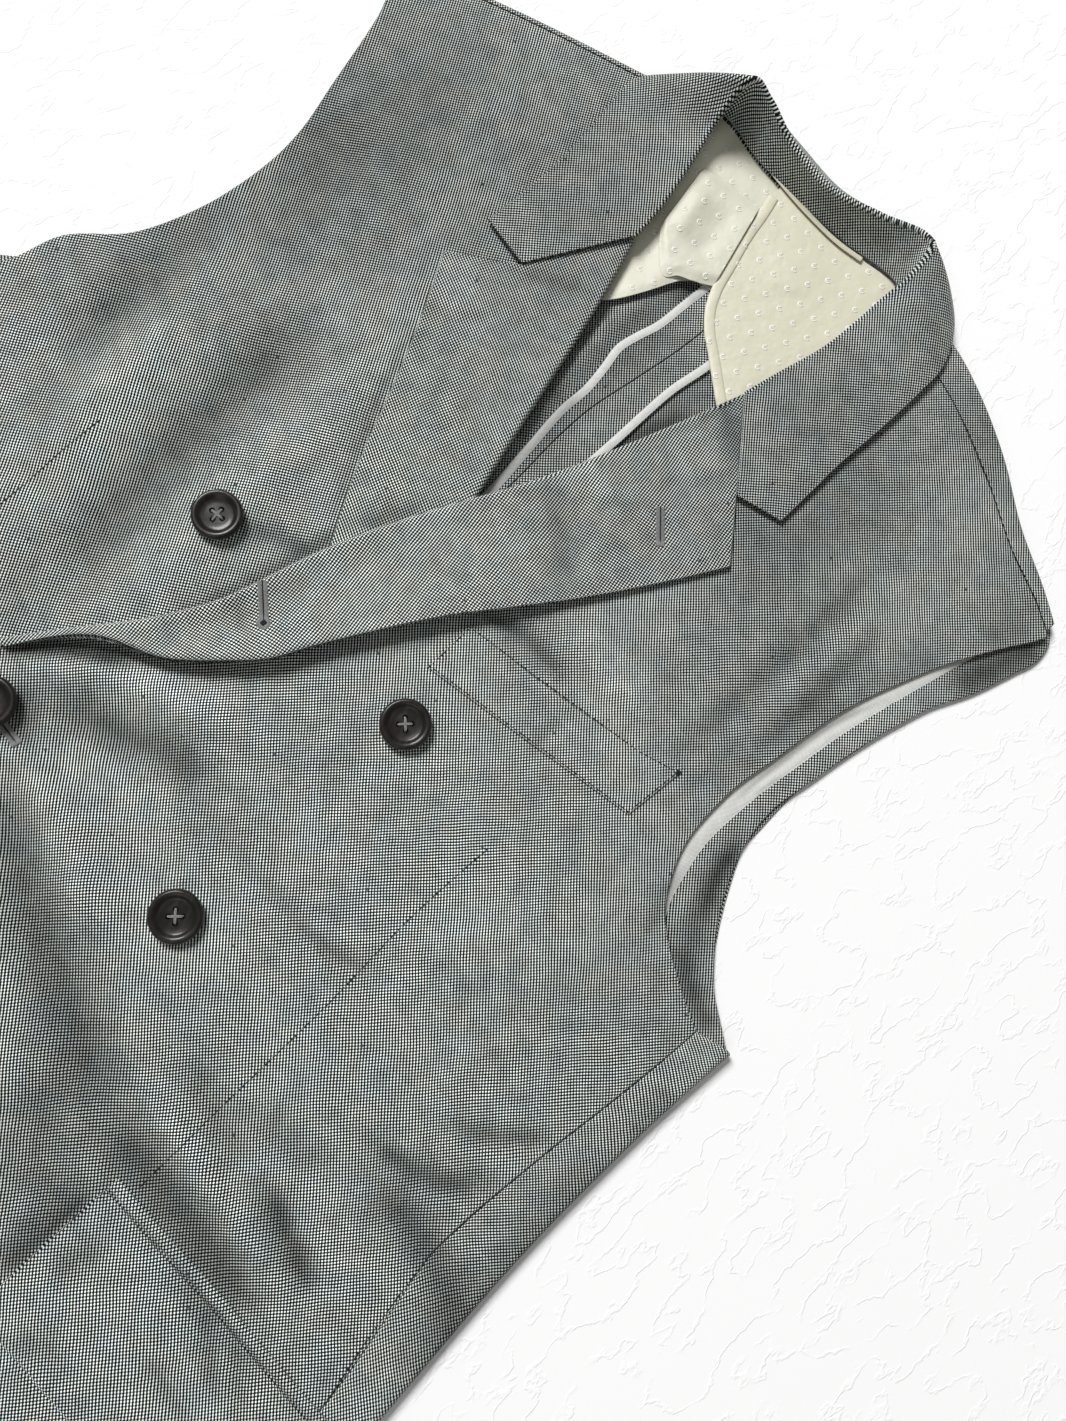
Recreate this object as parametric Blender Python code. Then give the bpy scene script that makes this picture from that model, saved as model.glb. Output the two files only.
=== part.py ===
"""A sleeveless double-breasted coat in fine wool, laid flat on its back.

Every cut and sewn piece is a closed sheet of its own. Lengths in this file are
millimetres and turn into metres where a mesh is made. X runs to the wearer's
left, Y to the neck and Z up from the surface that the coat lies on. While the
pieces are worked out, the zero point lies on the centre front line, level with
the upper row of buttons; at the end the whole coat is centred over the origin.
"""

import math
from collections import namedtuple

import bmesh
import bpy
import numpy as np
from mathutils import Matrix, Vector

MM = 0.001

# Thicknesses.
CLOTH = 1.0
LINING = 1.0
TWO_PLY = 2.0
COLLAR_PLY = 1.6
GAP = 0.3

# Heights of the middle of each layer above the surface.
BACK_LEVEL = CLOTH / 2
ALLOWANCE_LEVEL = 1.8
LINING_RIGHT_LEVEL = 3.1
LINING_LEFT_LEVEL = 4.4
FRONT_LEVEL = 5.7
OVERLAP_RISE = 1.8
LAPEL_BUMP = 2.2
PLY_STEP = (CLOTH + TWO_PLY) / 2 + 0.6

# Lengths along the body, from the upper button row.
HEM_Y = -500.0
WAIST_BUTTON_Y = -109.0
CHEST_BUTTON_Y = -1.0
CENTRE_BACK_X = 7.0

# How a folded edge turns, and how far its middle line stays inside the outline.
FOLD_RADIUS = (FRONT_LEVEL - BACK_LEVEL) / 2
FOLD_STEPS = 4
FOLD_INSET = CLOTH / 2 + FOLD_RADIUS

FrontRow = namedtuple("FrontRow", "inner_x inner_y outer_x outer_y shoulder_share")
SideRow = namedtuple("SideRow", "seam_x seam_y fold_x fold_y back_x back_y bow")
BackRow = namedtuple("BackRow", "inner_y outer_x outer_y shoulder_share")
LapelRow = namedtuple("LapelRow", "roll_x roll_y edge_x edge_y lift")
CollarRow = namedtuple(
    "CollarRow", "neck_x neck_y neck_z roll_x roll_y roll_z edge_x edge_y edge_z belly"
)
Fold = namedtuple("Fold", "start_x start_y end_x end_y half_width height")

# Side panels run from the seam on the front, round the folded side, to the seam on
# the back. The left armhole lies open and the right one has slipped lower.
SIDE_LEFT = [
    SideRow(232, -500, 252, -500, 198, -500, 0),
    SideRow(229, -420, 249.5, -420, 194, -420, 0),
    SideRow(226, -340, 246, -340, 190, -340, 0),
    SideRow(222, -260, 241.5, -260, 186, -260, 0),
    SideRow(217, -180, 236, -180, 181, -180, 0),
    SideRow(206, -110, 230.5, -110, 177, -110, 0),
    SideRow(207.5, -85, 229.5, -85, 176.5, -75, 0),
    SideRow(210, -60, 229.5, -58, 176.5, -40, -1),
    SideRow(213, -35, 230, -32, 177, -5, -3),
    SideRow(215.5, -10, 231.5, -6, 179, 30, -7),
    SideRow(216.5, 4, 232.5, 8, 181.5, 66, -11),
]
SIDE_RIGHT = [
    SideRow(-232, -500, -252, -500, -198, -500, 0),
    SideRow(-229, -420, -249.5, -420, -194, -420, 0),
    SideRow(-226, -340, -246, -340, -190, -340, 0),
    SideRow(-222, -260, -241.5, -260, -186, -260, 0),
    SideRow(-217, -180, -236, -180, -181, -180, 0),
    SideRow(-208, -125, -231, -125, -177, -115, 0),
    SideRow(-207.5, -100, -230, -100, -176, -85, 0),
    SideRow(-209, -78, -229.5, -76, -174, -55, -1),
    SideRow(-211, -56, -229.5, -54, -171, -25, -3),
    SideRow(-214, -36, -230, -32, -166, 10, -7),
    SideRow(-215.5, -20, -231, -18, -162, 44, -9),
]

# A front's columns lie closer together towards its inner edge.
FRONT_CROWDING = 1.15
FRONT_COLUMNS = 13
BACK_COLUMNS = 10

# Fronts, from hem to shoulder seam: front edge, roll line and neckline inside, side
# seam and armhole outside. shoulder_share is how much of the shoulder seam's line a
# row has already taken up.
FRONT_LEFT = [
    FrontRow(-75, -500, 232, -500, 0),
    FrontRow(-75, -420, 229, -420, 0),
    FrontRow(-75, -340, 226, -340, 0),
    FrontRow(-75, -260, 222, -260, 0),
    FrontRow(-75, -180, 217, -180, 0),
    FrontRow(-75, -125, 206, -110, 0),
    FrontRow(-69, -94, 207.5, -85, 0),
    FrontRow(-53, -69, 210, -60, 0),
    FrontRow(-36, -42, 213, -35, 0),
    FrontRow(-26, -21, 215.5, -10, 0),
    FrontRow(-22, -6, 216.5, 4, 0),
    FrontRow(-19, 8, 200, 11, 0),
    FrontRow(-15, 24, 176, 26, 0),
    FrontRow(-8, 45, 163.5, 47, 0),
    FrontRow(2, 70, 160, 74, 0),
    FrontRow(14, 98, 163, 101, 0),
    FrontRow(24, 128, 168, 136, 0.02),
    FrontRow(34, 160, 177, 165, 0.08),
    FrontRow(44, 196, 186, 188, 0.2),
    FrontRow(58, 220, 196, 208, 0.5),
    FrontRow(62, 246, 202, 218, 0.8),
    FrontRow(67, 268, 206, 224, 1),
]
FRONT_RIGHT = [
    FrontRow(75, -500, -232, -500, 0),
    FrontRow(75, -420, -229, -420, 0),
    FrontRow(75, -340, -226, -340, 0),
    FrontRow(75, -260, -222, -260, 0),
    FrontRow(75, -180, -217, -180, 0),
    FrontRow(75, -125, -208, -125, 0),
    FrontRow(66, -98, -207.5, -100, 0),
    FrontRow(57, -78, -209, -78, 0),
    FrontRow(49, -54, -211, -56, 0),
    FrontRow(42, -32, -214, -36, 0),
    FrontRow(36, -13, -215.5, -20, 0),
    FrontRow(31, 2, -199, -13, 0),
    FrontRow(26, 17, -188, 4, 0),
    FrontRow(20, 36, -183, 27, 0),
    FrontRow(12, 62, -167.5, 49, 0),
    FrontRow(2, 92, -159.5, 80, 0),
    FrontRow(-8, 124, -158, 108, 0),
    FrontRow(-18, 157, -162, 134, 0.03),
    FrontRow(-27, 184, -171, 162, 0.1),
    FrontRow(-36, 208, -178.5, 184, 0.3),
    FrontRow(-55, 240, -186, 200, 0.7),
    FrontRow(-63, 268, -196, 213, 1),
]

# Back halves: row ends from hem to shoulder; shoulder_share is how much of the
# neck and shoulder outline a row has already taken up.
BACK_LEFT = [
    BackRow(-500, 198, -500, 0),
    BackRow(-420, 194, -420, 0),
    BackRow(-340, 190, -340, 0),
    BackRow(-260, 186, -260, 0),
    BackRow(-180, 181, -180, 0),
    BackRow(-110, 177, -110, 0),
    BackRow(-75, 176.5, -75, 0),
    BackRow(-40, 176.5, -40, 0),
    BackRow(-5, 177, -5, 0),
    BackRow(30, 179, 30, 0),
    BackRow(66, 181.5, 66, 0),
    BackRow(105, 181, 97, 0),
    BackRow(145, 185, 130, 0.1),
    BackRow(180, 188, 152, 0.25),
    BackRow(206, 194, 169, 0.45),
    BackRow(230, 202, 185, 0.65),
    BackRow(252, 207, 205, 0.85),
    BackRow(274, 211, 222, 1),
]
BACK_RIGHT = [
    BackRow(-500, -198, -500, 0),
    BackRow(-420, -194, -420, 0),
    BackRow(-340, -190, -340, 0),
    BackRow(-260, -186, -260, 0),
    BackRow(-180, -181, -180, 0),
    BackRow(-110, -177, -115, 0),
    BackRow(-82, -176, -85, 0),
    BackRow(-52, -174, -55, 0),
    BackRow(-22, -171, -25, 0),
    BackRow(12, -166, 10, 0),
    BackRow(50, -162, 44, 0),
    BackRow(95, -156, 80, 0),
    BackRow(140, -155, 112, 0.1),
    BackRow(185, -162, 145, 0.3),
    BackRow(222, -172, 172, 0.6),
    BackRow(252, -184, 198, 0.85),
    BackRow(274, -196, 213, 1),
]

# The folded top of the coat, from armhole to armhole: neck seam and shoulders.
TOP_OUTLINE = [
    (-200, 216), (-153, 240), (-121, 254), (-89, 267), (-70, 275), (-55, 280),
    (-34, 278), (-13, 277), (7, 277), (31, 280), (53, 285), (72, 287),
    (90, 285), (113, 278), (139, 267), (162, 254), (191, 239), (212, 224),
]

# The shoulder seam lies on the front, this far before the fold.
SEAM_SHIFT = [(-200, 2.5), (-70, 2.5), (70, 16), (109, 12.7), (133, 9.4), (160, 4), (212, 3)]
SHOULDER_GAP = 0.7
LEAST_WRAP = 0.8

# Between these widths the back's top edge changes from the neck seam to the fold.
NECK_HALF_WIDTH = 58.0
SHOULDER_START = 78.0
NECK_SEAM_LEVEL = 4.4
NECK_RISE = 3.4

# Lapels, from the gorge seam at the collar down to the break of the roll line.
LAPEL_LEFT = [
    LapelRow(44, 196, 94, 139, 0),
    LapelRow(34, 160, 79, 110, 0),
    LapelRow(24, 128, 65, 86, 0),
    LapelRow(14, 98, 53, 67, 0),
    LapelRow(2, 70, 41, 48, 0),
    LapelRow(-8, 45, 28, 27, 1),
    LapelRow(-15, 24, 18, 9, 2),
    LapelRow(-19, 8, 9, -8, 3),
    LapelRow(-22, -6, 3, -21, 4),
    LapelRow(-26, -21, -8, -35, 5),
    LapelRow(-36, -42, -22, -50, 5),
    LapelRow(-53, -69, -45, -66, 3),
    LapelRow(-69, -94, -64, -92, 0),
]
LAPEL_RIGHT = [
    LapelRow(-36, 208, -82, 141, 0),
    LapelRow(-27, 184, -73, 126, 0),
    LapelRow(-18, 157, -61, 105, 0),
    LapelRow(-8, 124, -48, 80, 0),
    LapelRow(2, 92, -36, 56, 0),
    LapelRow(12, 62, -22, 32, 0),
    LapelRow(20, 36, -10, 13, 0),
    LapelRow(26, 17, -1, -2, 0),
    LapelRow(31, 2, 8, -15, 0),
    LapelRow(36, -13, 17, -28, 0),
    LapelRow(42, -32, 27, -44, 0),
    LapelRow(49, -54, 38, -62, 0),
    LapelRow(57, -78, 50, -82, 0),
]
# The front's own edge stays inside the turned lapel by its two plies and the gap.
ROLL_TRIM = TWO_PLY + GAP + 0.5
ROLL_ROWS_LEFT = (6, 19)
ROLL_ROWS_RIGHT = (7, 20)
# Where a lapel turns: how far in from the roll line, and how far below its upper ply.
TURN_PROFILE = ((1.0, 1.7), (1.1, 0.9), (1.8, 0.25))
FULL_TURN_REACH = 6.0
LAPEL_COLUMNS = 5

# The corner between the gorge seam and the lapel's free top edge, on each side.
NOTCH_LEFT = (74, 162)
NOTCH_RIGHT = (-59, 161)
NOTCH_SHARE = 0.6

# The collar from the left gorge, round the back of the neck, to the right gorge:
# neck seam, roll and outer edge. belly lifts the middle of the fall.
COLLAR = [
    CollarRow(49.5, 201, 8.4, 45.5, 200, 11.2, 94, 169, 9.8, 0),
    CollarRow(54, 214, 7.6, 47, 213, 11, 93.5, 181, 9.4, 0),
    CollarRow(60, 236, 7.0, 51, 234, 11.4, 92.5, 205, 9.2, 0),
    CollarRow(64, 257, 6.8, 52, 255, 12.4, 93, 232, 8.8, 0.5),
    CollarRow(65, 272, 6.6, 52, 271, 14, 92.5, 253, 8.8, 1),
    CollarRow(60, 281.5, 6.4, 53, 282, 19, 91, 270, 8.6, 1),
    CollarRow(52, 284, 5.8, 51.5, 290, 27, 85, 283, 8.0, 1.5),
    CollarRow(41, 282, 5.4, 45, 292.5, 30.5, 66, 300, 5.4, 2),
    CollarRow(24, 279.5, 5.0, 26, 287, 29.5, 32, 308, 2, 2),
    CollarRow(4, 278, 5.0, 4, 283, 28, 4, 306, 1.6, 2),
    CollarRow(-18, 278, 5.0, -18, 283, 29, -24, 305, 1.6, 2),
    CollarRow(-36, 278.5, 5.2, -38, 286, 31, -62, 289, 5.6, 2),
    CollarRow(-50, 279.5, 5.8, -49, 284, 31, -83, 270, 8.2, 1.5),
    CollarRow(-57, 276.5, 6.4, -51.5, 277.5, 24, -90, 256, 8.8, 1),
    CollarRow(-60, 267, 6.6, -50.5, 268, 15, -88.5, 243, 8.6, 1),
    CollarRow(-55, 251, 6.8, -45.5, 252, 12.4, -85, 225, 8.6, 0.5),
    CollarRow(-47, 231, 6.9, -39.5, 231, 11.2, -82, 204, 8.6, 0),
    CollarRow(-42, 212, 7.0, -36.5, 211, 10.2, -82, 165, 8.6, 0),
]
ROLL_DEPTH = 2.2
ROLL_HALF_HEIGHT = 1.4
FALL_COLUMNS = 5

# Half linings: their free edge sweeps from the middle of the neck to the armhole.
LINING_LEFT_HEM = [
    (-14.5, 268), (-12, 262), (-8, 248), (-2, 229), (4, 214), (12, 205),
    (24, 197), (38, 187), (70, 168), (110, 150), (150, 138),
]
LINING_RIGHT_HEM = [
    (12, 226), (4, 220), (-4, 216), (-13, 203), (-19, 192), (-26, 181),
    (-50, 162), (-90, 142), (-135, 128),
]
LINING_ROWS = 6
LINING_TOP_INSET = 3.2
LINING_SHOULDER_INSET = 10.5
LINING_INSET_START = 40.0
LINING_INSET_RUN = 15.0

# Largest soft folds in the fronts.
FOLDS_LEFT = [
    Fold(-20, -150, 110, -166, 22, 1.6),
    Fold(130, -150, 215, -165, 16, 2.4),
    Fold(95, -40, 165, -95, 18, 1.6),
    Fold(160, 20, 205, -40, 14, 2.0),
    Fold(70, 110, 150, 190, 22, 1.4),
    Fold(0, -320, 140, -360, 30, 2.0),
]
FOLDS_RIGHT = [
    Fold(-185, 0, -110, 60, 20, 2.4),
    Fold(-150, 190, -95, 120, 20, 1.8),
    Fold(-190, -290, -110, -370, 26, 2.2),
]
# The left front rides over the right lapel along this line.
RIDE_OVER = Fold(-6, 62, 56, -84, 30, LAPEL_BUMP)
RIDE_BLEND = 42.0

# Seam allowances of the centre back seam, pressed open, and their bound edges.
ALLOWANCE_TOP_Y = 268.0
ALLOWANCE_HEM_INSET = 2.0
ALLOWANCE_LEFT_WIDTH = 13.0
ALLOWANCE_RIGHT_WIDTH = 8.0
BINDING_WIDTH = 3.6
BINDING = 1.2

# The facing sewn round the left armhole, inside.
ARMHOLE_FACING_WIDTH = 15.0
ARMHOLE_BINDING_WIDTH = 4.0
ARMHOLE_LEFT = [
    (222, 14), (212, 20.5), (202, 30), (194, 40), (186.5, 54), (181.5, 68),
    (180.5, 97), (185.5, 132), (190.5, 163), (199.5, 182), (206, 203), (208, 210),
]

# Pockets. What lies on a front clears the facets of its folds.
PATCH_CLEARANCE = 0.8
PATCH_ROWS = 3
PATCH_COLUMNS = 8
WELT_CORNERS = [(43, 20), (138, 39), (141, 67), (43, 44)]
FLAP_FRONT_X = 110.0
FLAP_TOP_Y = -187.0
FLAP_WIDTH = 112.0
FLAP_DEPTH = 56.0
FLAP_CORNER = 12.0
JET_HEIGHT = 4.6

# Buttons: a turned disc with a raised rim and four sewing holes.
BUTTON_RADIUS = 10.0
BUTTON_PROFILE = [
    (0, 2.6), (6.4, 2.5), (7.6, 3.4), (8.9, 3.6), (9.8, 2.9),
    (BUTTON_RADIUS, 1.8), (9.0, 0.6), (6.0, 0.0), (0, 0.0),
]
BUTTON_SEGMENTS = 24
BUTTON_HOLE_RADIUS = 0.9
BUTTON_HOLE_REACH = 2.55
BUTTON_HOLE_DEPTH = 6.0
BUTTON_SEAT = 0.5
BUTTON_CREASE = math.radians(35)

Button = namedtuple("Button", "name x y side turn")
BUTTONS = [
    Button("button_chest_right", -53, CHEST_BUTTON_Y, "right", 0.0),
    Button("button_chest_left", 56, CHEST_BUTTON_Y, "left", 0.8),
    Button("button_waist_left", 54, WAIST_BUTTON_Y, "left", 0.8),
    Button("button_waist_right", -51, WAIST_BUTTON_Y, "left", 0.4),
]

HANGER_ENDS = ((-22, 273.8), (31, 276.6))
HANGER_WIDTH = 3.0
HANGER_SAG = 3.0
HANGER_STEPS = 8
HANGER_LEVEL = 5.9

# Finishes: colour, roughness, metallic.
FINISHES = {
    "wool": ((0.115, 0.135, 0.145), 0.9, 0.0),
    "lining": ((0.74, 0.72, 0.62), 0.45, 0.0),
    "binding": ((0.76, 0.76, 0.74), 0.6, 0.0),
    "horn": ((0.012, 0.009, 0.007), 0.25, 0.0),
}


def smooth(value):
    """A soft step from 0 at value 0 to 1 at value 1."""
    t = min(max(value, 0.0), 1.0)
    return t * t * (3 - 2 * t)


def arch(share):
    """0 at both ends of a run and 1 in the middle."""
    return 4 * share * (1 - share)


def along_table(table, value):
    """The second column of a table at a value of its first, on straight runs."""
    return float(np.interp(value, *zip(*table)))


def segment_distance(x, y, fold):
    """Distance from a point to the fold's line, and the share of the way along it."""
    dx, dy = fold.end_x - fold.start_x, fold.end_y - fold.start_y
    along = ((x - fold.start_x) * dx + (y - fold.start_y) * dy) / (dx * dx + dy * dy)
    t = min(max(along, 0.0), 1.0)
    return math.hypot(x - fold.start_x - t * dx, y - fold.start_y - t * dy), along


def fold_height(x, y, folds):
    """Height that the soft folds add at a point."""
    total = 0.0
    for fold in folds:
        distance, along = segment_distance(x, y, fold)
        fade = smooth((along + 0.25) / 0.4) * smooth((1.25 - along) / 0.4)
        total += fold.height * fade * math.exp(-((distance / fold.half_width) ** 2))
    return total


def front_right_level(x, y):
    """Middle of the right front's cloth."""
    return FRONT_LEVEL + fold_height(x, y, FOLDS_RIGHT)


def front_left_level(x, y):
    """Middle of the left front's cloth, which laps over the right front and lapel."""
    rise = OVERLAP_RISE * smooth((205 - x) / 100) * smooth((240 - y) / 90)
    distance, _ = segment_distance(x, y, RIDE_OVER)
    bump = RIDE_OVER.height * smooth((RIDE_OVER.half_width + RIDE_BLEND - distance) / RIDE_BLEND)
    return FRONT_LEVEL + rise + bump + fold_height(x, y, FOLDS_LEFT)


def grid_normals(grid):
    """A unit normal at each point of a grid of points."""
    across = np.gradient(grid, axis=1)
    along = np.gradient(grid, axis=0)
    normals = np.cross(across, along)
    return normals / np.linalg.norm(normals, axis=2, keepdims=True)


def closed_sheet(name, grid, thickness, finish):
    """A closed sheet of cloth whose middle surface is a grid of points, in mm."""
    grid = np.asarray(grid, dtype=float)
    offset = grid_normals(grid) * thickness / 2
    rows, columns = grid.shape[:2]
    bm = bmesh.new()
    upper = [[bm.verts.new(point * MM) for point in row] for row in grid + offset]
    lower = [[bm.verts.new(point * MM) for point in row] for row in grid - offset]
    for i in range(rows - 1):
        for j in range(columns - 1):
            bm.faces.new((upper[i][j], upper[i][j + 1], upper[i + 1][j + 1], upper[i + 1][j]))
            bm.faces.new((lower[i][j], lower[i + 1][j], lower[i + 1][j + 1], lower[i][j + 1]))
    rim = [(0, j) for j in range(columns)]
    rim += [(i, columns - 1) for i in range(1, rows)]
    rim += [(rows - 1, j) for j in range(columns - 2, -1, -1)]
    rim += [(i, 0) for i in range(rows - 2, 0, -1)]
    for (i, j), (k, m) in zip(rim, rim[1:] + rim[:1]):
        bm.faces.new((upper[i][j], lower[i][j], lower[k][m], upper[k][m]))
    return finish_piece(name, bm, finish)


def finish_piece(name, bm, finish):
    """Turns a bmesh into an object with its faces pointing out and its material set."""
    bmesh.ops.recalc_face_normals(bm, faces=bm.faces)
    bmesh.ops.triangulate(bm, faces=bm.faces)
    if bm.calc_volume(signed=True) < 0:
        bmesh.ops.reverse_faces(bm, faces=bm.faces)
    mesh = bpy.data.meshes.new(name)
    bm.to_mesh(mesh)
    bm.free()
    mesh.materials.append(finish_material(finish))
    piece = bpy.data.objects.new(name, mesh)
    bpy.context.scene.collection.objects.link(piece)
    return piece


def finish_material(finish):
    """The Principled material of a finish, made once."""
    material = bpy.data.materials.get(finish)
    if material is None:
        colour, roughness, metallic = FINISHES[finish]
        material = bpy.data.materials.new(finish)
        material.use_nodes = True
        shader = material.node_tree.nodes["Principled BSDF"]
        shader.inputs["Base Color"].default_value = (*colour, 1.0)
        shader.inputs["Roughness"].default_value = roughness
        shader.inputs["Metallic"].default_value = metallic
    return material


def share_steps(count, power=1.0):
    """count + 1 shares from 0 to 1, closer together at 0 when power is over 1."""
    return [(i / count) ** power for i in range(count + 1)]


def shoulder_seam(x):
    """Where the seam between front and back lies on the folded shoulder."""
    return top_outline(x) - along_table(SEAM_SHIFT, x) - FOLD_INSET / 2


def front_panel(name, rows, level, roll_rows, columns):
    """A front, from its inner edge to the side seam; roll_rows carry the lapel."""
    side = 1 if rows[0].outer_x > rows[0].inner_x else -1
    inner = np.array([(row.inner_x, row.inner_y) for row in rows], dtype=float)
    first, last = roll_rows
    inner[first:last] = offset_line(inner[first:last], -side * ROLL_TRIM)
    outer = np.array([(row.outer_x - side * GAP / 2, row.outer_y) for row in rows])
    top_in, top_out = inner[-1], outer[-1]
    grid = []
    for row, start, end in zip(rows, inner, outer):
        points = []
        for share in share_steps(columns, FRONT_CROWDING):
            x, y = start + share * (end - start)
            top_x, top_y = top_in + share * (top_out - top_in)
            y += row.shoulder_share * (shoulder_seam(top_x) - SHOULDER_GAP - top_y)
            points.append((x, y, level(x, y)))
        grid.append(points)
    return closed_sheet(name, grid, CLOTH, "wool")


def turn_points(steps):
    """Shares round a half turn: sideways reach and height, from the lower layer up."""
    angles = [math.pi * i / steps for i in range(steps + 1)]
    return [(math.sin(a), (1 - math.cos(a)) / 2) for a in angles]


def side_panel(name, rows):
    """A panel that runs from the front seam, round the folded side, to the back seam."""
    side = 1 if rows[0].fold_x > 0 else -1
    grid = []
    for row in rows:
        points = []
        turn_x = abs(row.fold_x) - FOLD_INSET
        seam = abs(row.seam_x) + GAP / 2
        for share in (0.0, 0.5):
            x = seam + share * (turn_x - seam)
            points.append((side * x, row.seam_y + share * (row.fold_y - row.seam_y), FRONT_LEVEL))
        for reach, height in reversed(turn_points(FOLD_STEPS)):
            x = turn_x + reach * FOLD_RADIUS
            points.append((side * x, row.fold_y, BACK_LEVEL + height * 2 * FOLD_RADIUS))
        back = abs(row.back_x) + GAP / 2
        for share in (0.3, 0.65, 1.0):
            x = turn_x + share * (back - turn_x)
            y = row.fold_y + share * (row.back_y - row.fold_y) + row.bow * arch(share)
            points.append((side * x, y, BACK_LEVEL))
        grid.append(points)
    return closed_sheet(name, grid, CLOTH, "wool")


def top_outline(x):
    """The coat's folded top edge at x."""
    return along_table(TOP_OUTLINE, x)


def wrap_share(x):
    """0 at the neck, where the back ends at the collar, to 1 where it folds forward."""
    return smooth((abs(x) - NECK_HALF_WIDTH) / (SHOULDER_START - NECK_HALF_WIDTH))


def back_half(name, rows, columns):
    """Half of the back: flat, then folded forward over the shoulder to its seam."""
    side = 1 if rows[0].outer_x > 0 else -1
    inner_x = CENTRE_BACK_X + side * GAP / 2
    top = rows[-1]
    grid = []
    for row in rows:
        outer_x = row.outer_x - side * GAP / 2
        points = []
        for share in share_steps(columns):
            x = inner_x + share * (outer_x - inner_x)
            straight = row.inner_y + share * (row.outer_y - row.inner_y)
            straight_top = top.inner_y + share * (top.outer_y - top.inner_y)
            outline = top_outline(inner_x + share * (top.outer_x - inner_x)) - FOLD_INSET
            points.append((x, straight + row.shoulder_share * (outline - straight_top), BACK_LEVEL))
        grid.append(points)
    for step, (reach, height) in enumerate(turn_points(FOLD_STEPS)[1:], start=1):
        grid.append([turned_point(point, reach, height, step) for point in grid[len(rows) - 1]])
    seam_row = []
    for x, y, _ in grid[-1]:
        share = wrap_share(x)
        height = NECK_SEAM_LEVEL + share * (FRONT_LEVEL - NECK_SEAM_LEVEL)
        seam_row.append((x, y + share * min(shoulder_seam(x) - y, -LEAST_WRAP), height))
    grid.append(seam_row)
    return closed_sheet(name, grid, CLOTH, "wool")


def turned_point(point, reach, height, step):
    """A point carried round the shoulder fold, or up to the neck seam inside the neck."""
    x, y, _ = point
    share = wrap_share(x)
    folded_y = y + reach * FOLD_RADIUS
    folded_z = BACK_LEVEL + height * 2 * FOLD_RADIUS
    rise = step / FOLD_STEPS
    neck_y = y + FOLD_INSET * math.sin(rise * math.pi / 2)
    neck_z = BACK_LEVEL + NECK_RISE * rise * rise
    return (x, neck_y + share * (folded_y - neck_y), neck_z + share * (folded_z - neck_z))


def lapel(name, rows, notch, level):
    """A lapel facing turned back over the front, with its cloth, round the roll line."""
    grid = []
    for index, row in enumerate(rows):
        roll = np.array((row.roll_x, row.roll_y), dtype=float)
        edge = np.array((row.edge_x, row.edge_y), dtype=float)
        reach = np.linalg.norm(edge - roll)
        across = (edge - roll) / reach
        turn = min(1.0, reach / FULL_TURN_REACH)
        base = level(*(roll + across * TWO_PLY))
        points = []
        for run, drop in TURN_PROFILE:
            point = roll + across * run * turn
            points.append((*point, base + PLY_STEP - drop))
        flat_start = TURN_PROFILE[-1][0] * turn
        for share in share_steps(LAPEL_COLUMNS)[1:]:
            point = roll + across * (flat_start + share * (reach - flat_start))
            if index == 0:
                point = gorge_point(roll, np.array(notch, dtype=float), edge, share)
            point = point + np.array((0.0, -GAP / 2)) * (index == 0)
            height = level(*point) + PLY_STEP + row.lift * share ** 2
            points.append((*point, height))
        grid.append(points)
    return closed_sheet(name, grid, TWO_PLY, "wool")


def gorge_point(roll, notch, tip, share):
    """A point on the line that runs from the roll to the notch and on to the tip."""
    if share <= NOTCH_SHARE:
        return roll + (notch - roll) * share / NOTCH_SHARE
    return notch + (tip - notch) * (share - NOTCH_SHARE) / (1 - NOTCH_SHARE)


def collar_section(row, notch):
    """One section of the collar: stand, rolled edge and fall."""
    neck = np.array((row.neck_x, row.neck_y, row.neck_z), dtype=float)
    roll = np.array((row.roll_x, row.roll_y, row.roll_z), dtype=float)
    edge = np.array((row.edge_x, row.edge_y, row.edge_z), dtype=float)
    to_neck = (neck - roll) / np.linalg.norm(neck - roll)
    to_edge = (edge - roll) / np.linalg.norm(edge - roll)
    inward = (to_neck + to_edge) / np.linalg.norm(to_neck + to_edge)
    outward = (to_edge - to_neck) / np.linalg.norm(to_edge - to_neck)
    stand_end = roll + inward * ROLL_DEPTH - outward * ROLL_HALF_HEIGHT
    fall_start = roll + inward * ROLL_DEPTH + outward * ROLL_HALF_HEIGHT
    points = [neck, (neck + stand_end) / 2, stand_end, roll, fall_start]
    for share in share_steps(FALL_COLUMNS)[1:]:
        point = fall_start + (edge - fall_start) * share
        if notch is not None:
            corner = np.array((*notch, edge[2]), dtype=float)
            point = gorge_point(fall_start, corner, edge, share) + np.array((0.0, GAP / 2, 0.0))
        points.append(point + np.array((0, 0, row.belly * arch(share))))
    return points


def collar():
    """The collar, one strip from gorge to gorge."""
    sections = []
    for index, row in enumerate(COLLAR):
        notch = {0: NOTCH_LEFT, len(COLLAR) - 1: NOTCH_RIGHT}.get(index)
        sections.append(collar_section(row, notch))
    return closed_sheet("collar", with_middles(np.array(sections)), COLLAR_PLY, "wool")


def with_middles(rows):
    """The rows with one more between each two, on a smooth curve through them."""
    result = [rows[0]]
    for index in range(len(rows) - 1):
        before = rows[max(index - 1, 0)]
        after = rows[min(index + 2, len(rows) - 1)]
        here, there = rows[index], rows[index + 1]
        result.append((9 * (here + there) - before - after) / 16)
        result.append(there)
    return np.array(result)


def lining_top(x):
    """The lining's sewn upper edge: the neck seam, then well inside the shoulder fold."""
    shoulder = smooth((abs(x) - LINING_INSET_START) / LINING_INSET_RUN)
    return top_outline(x) - LINING_TOP_INSET - LINING_SHOULDER_INSET * shoulder


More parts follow.
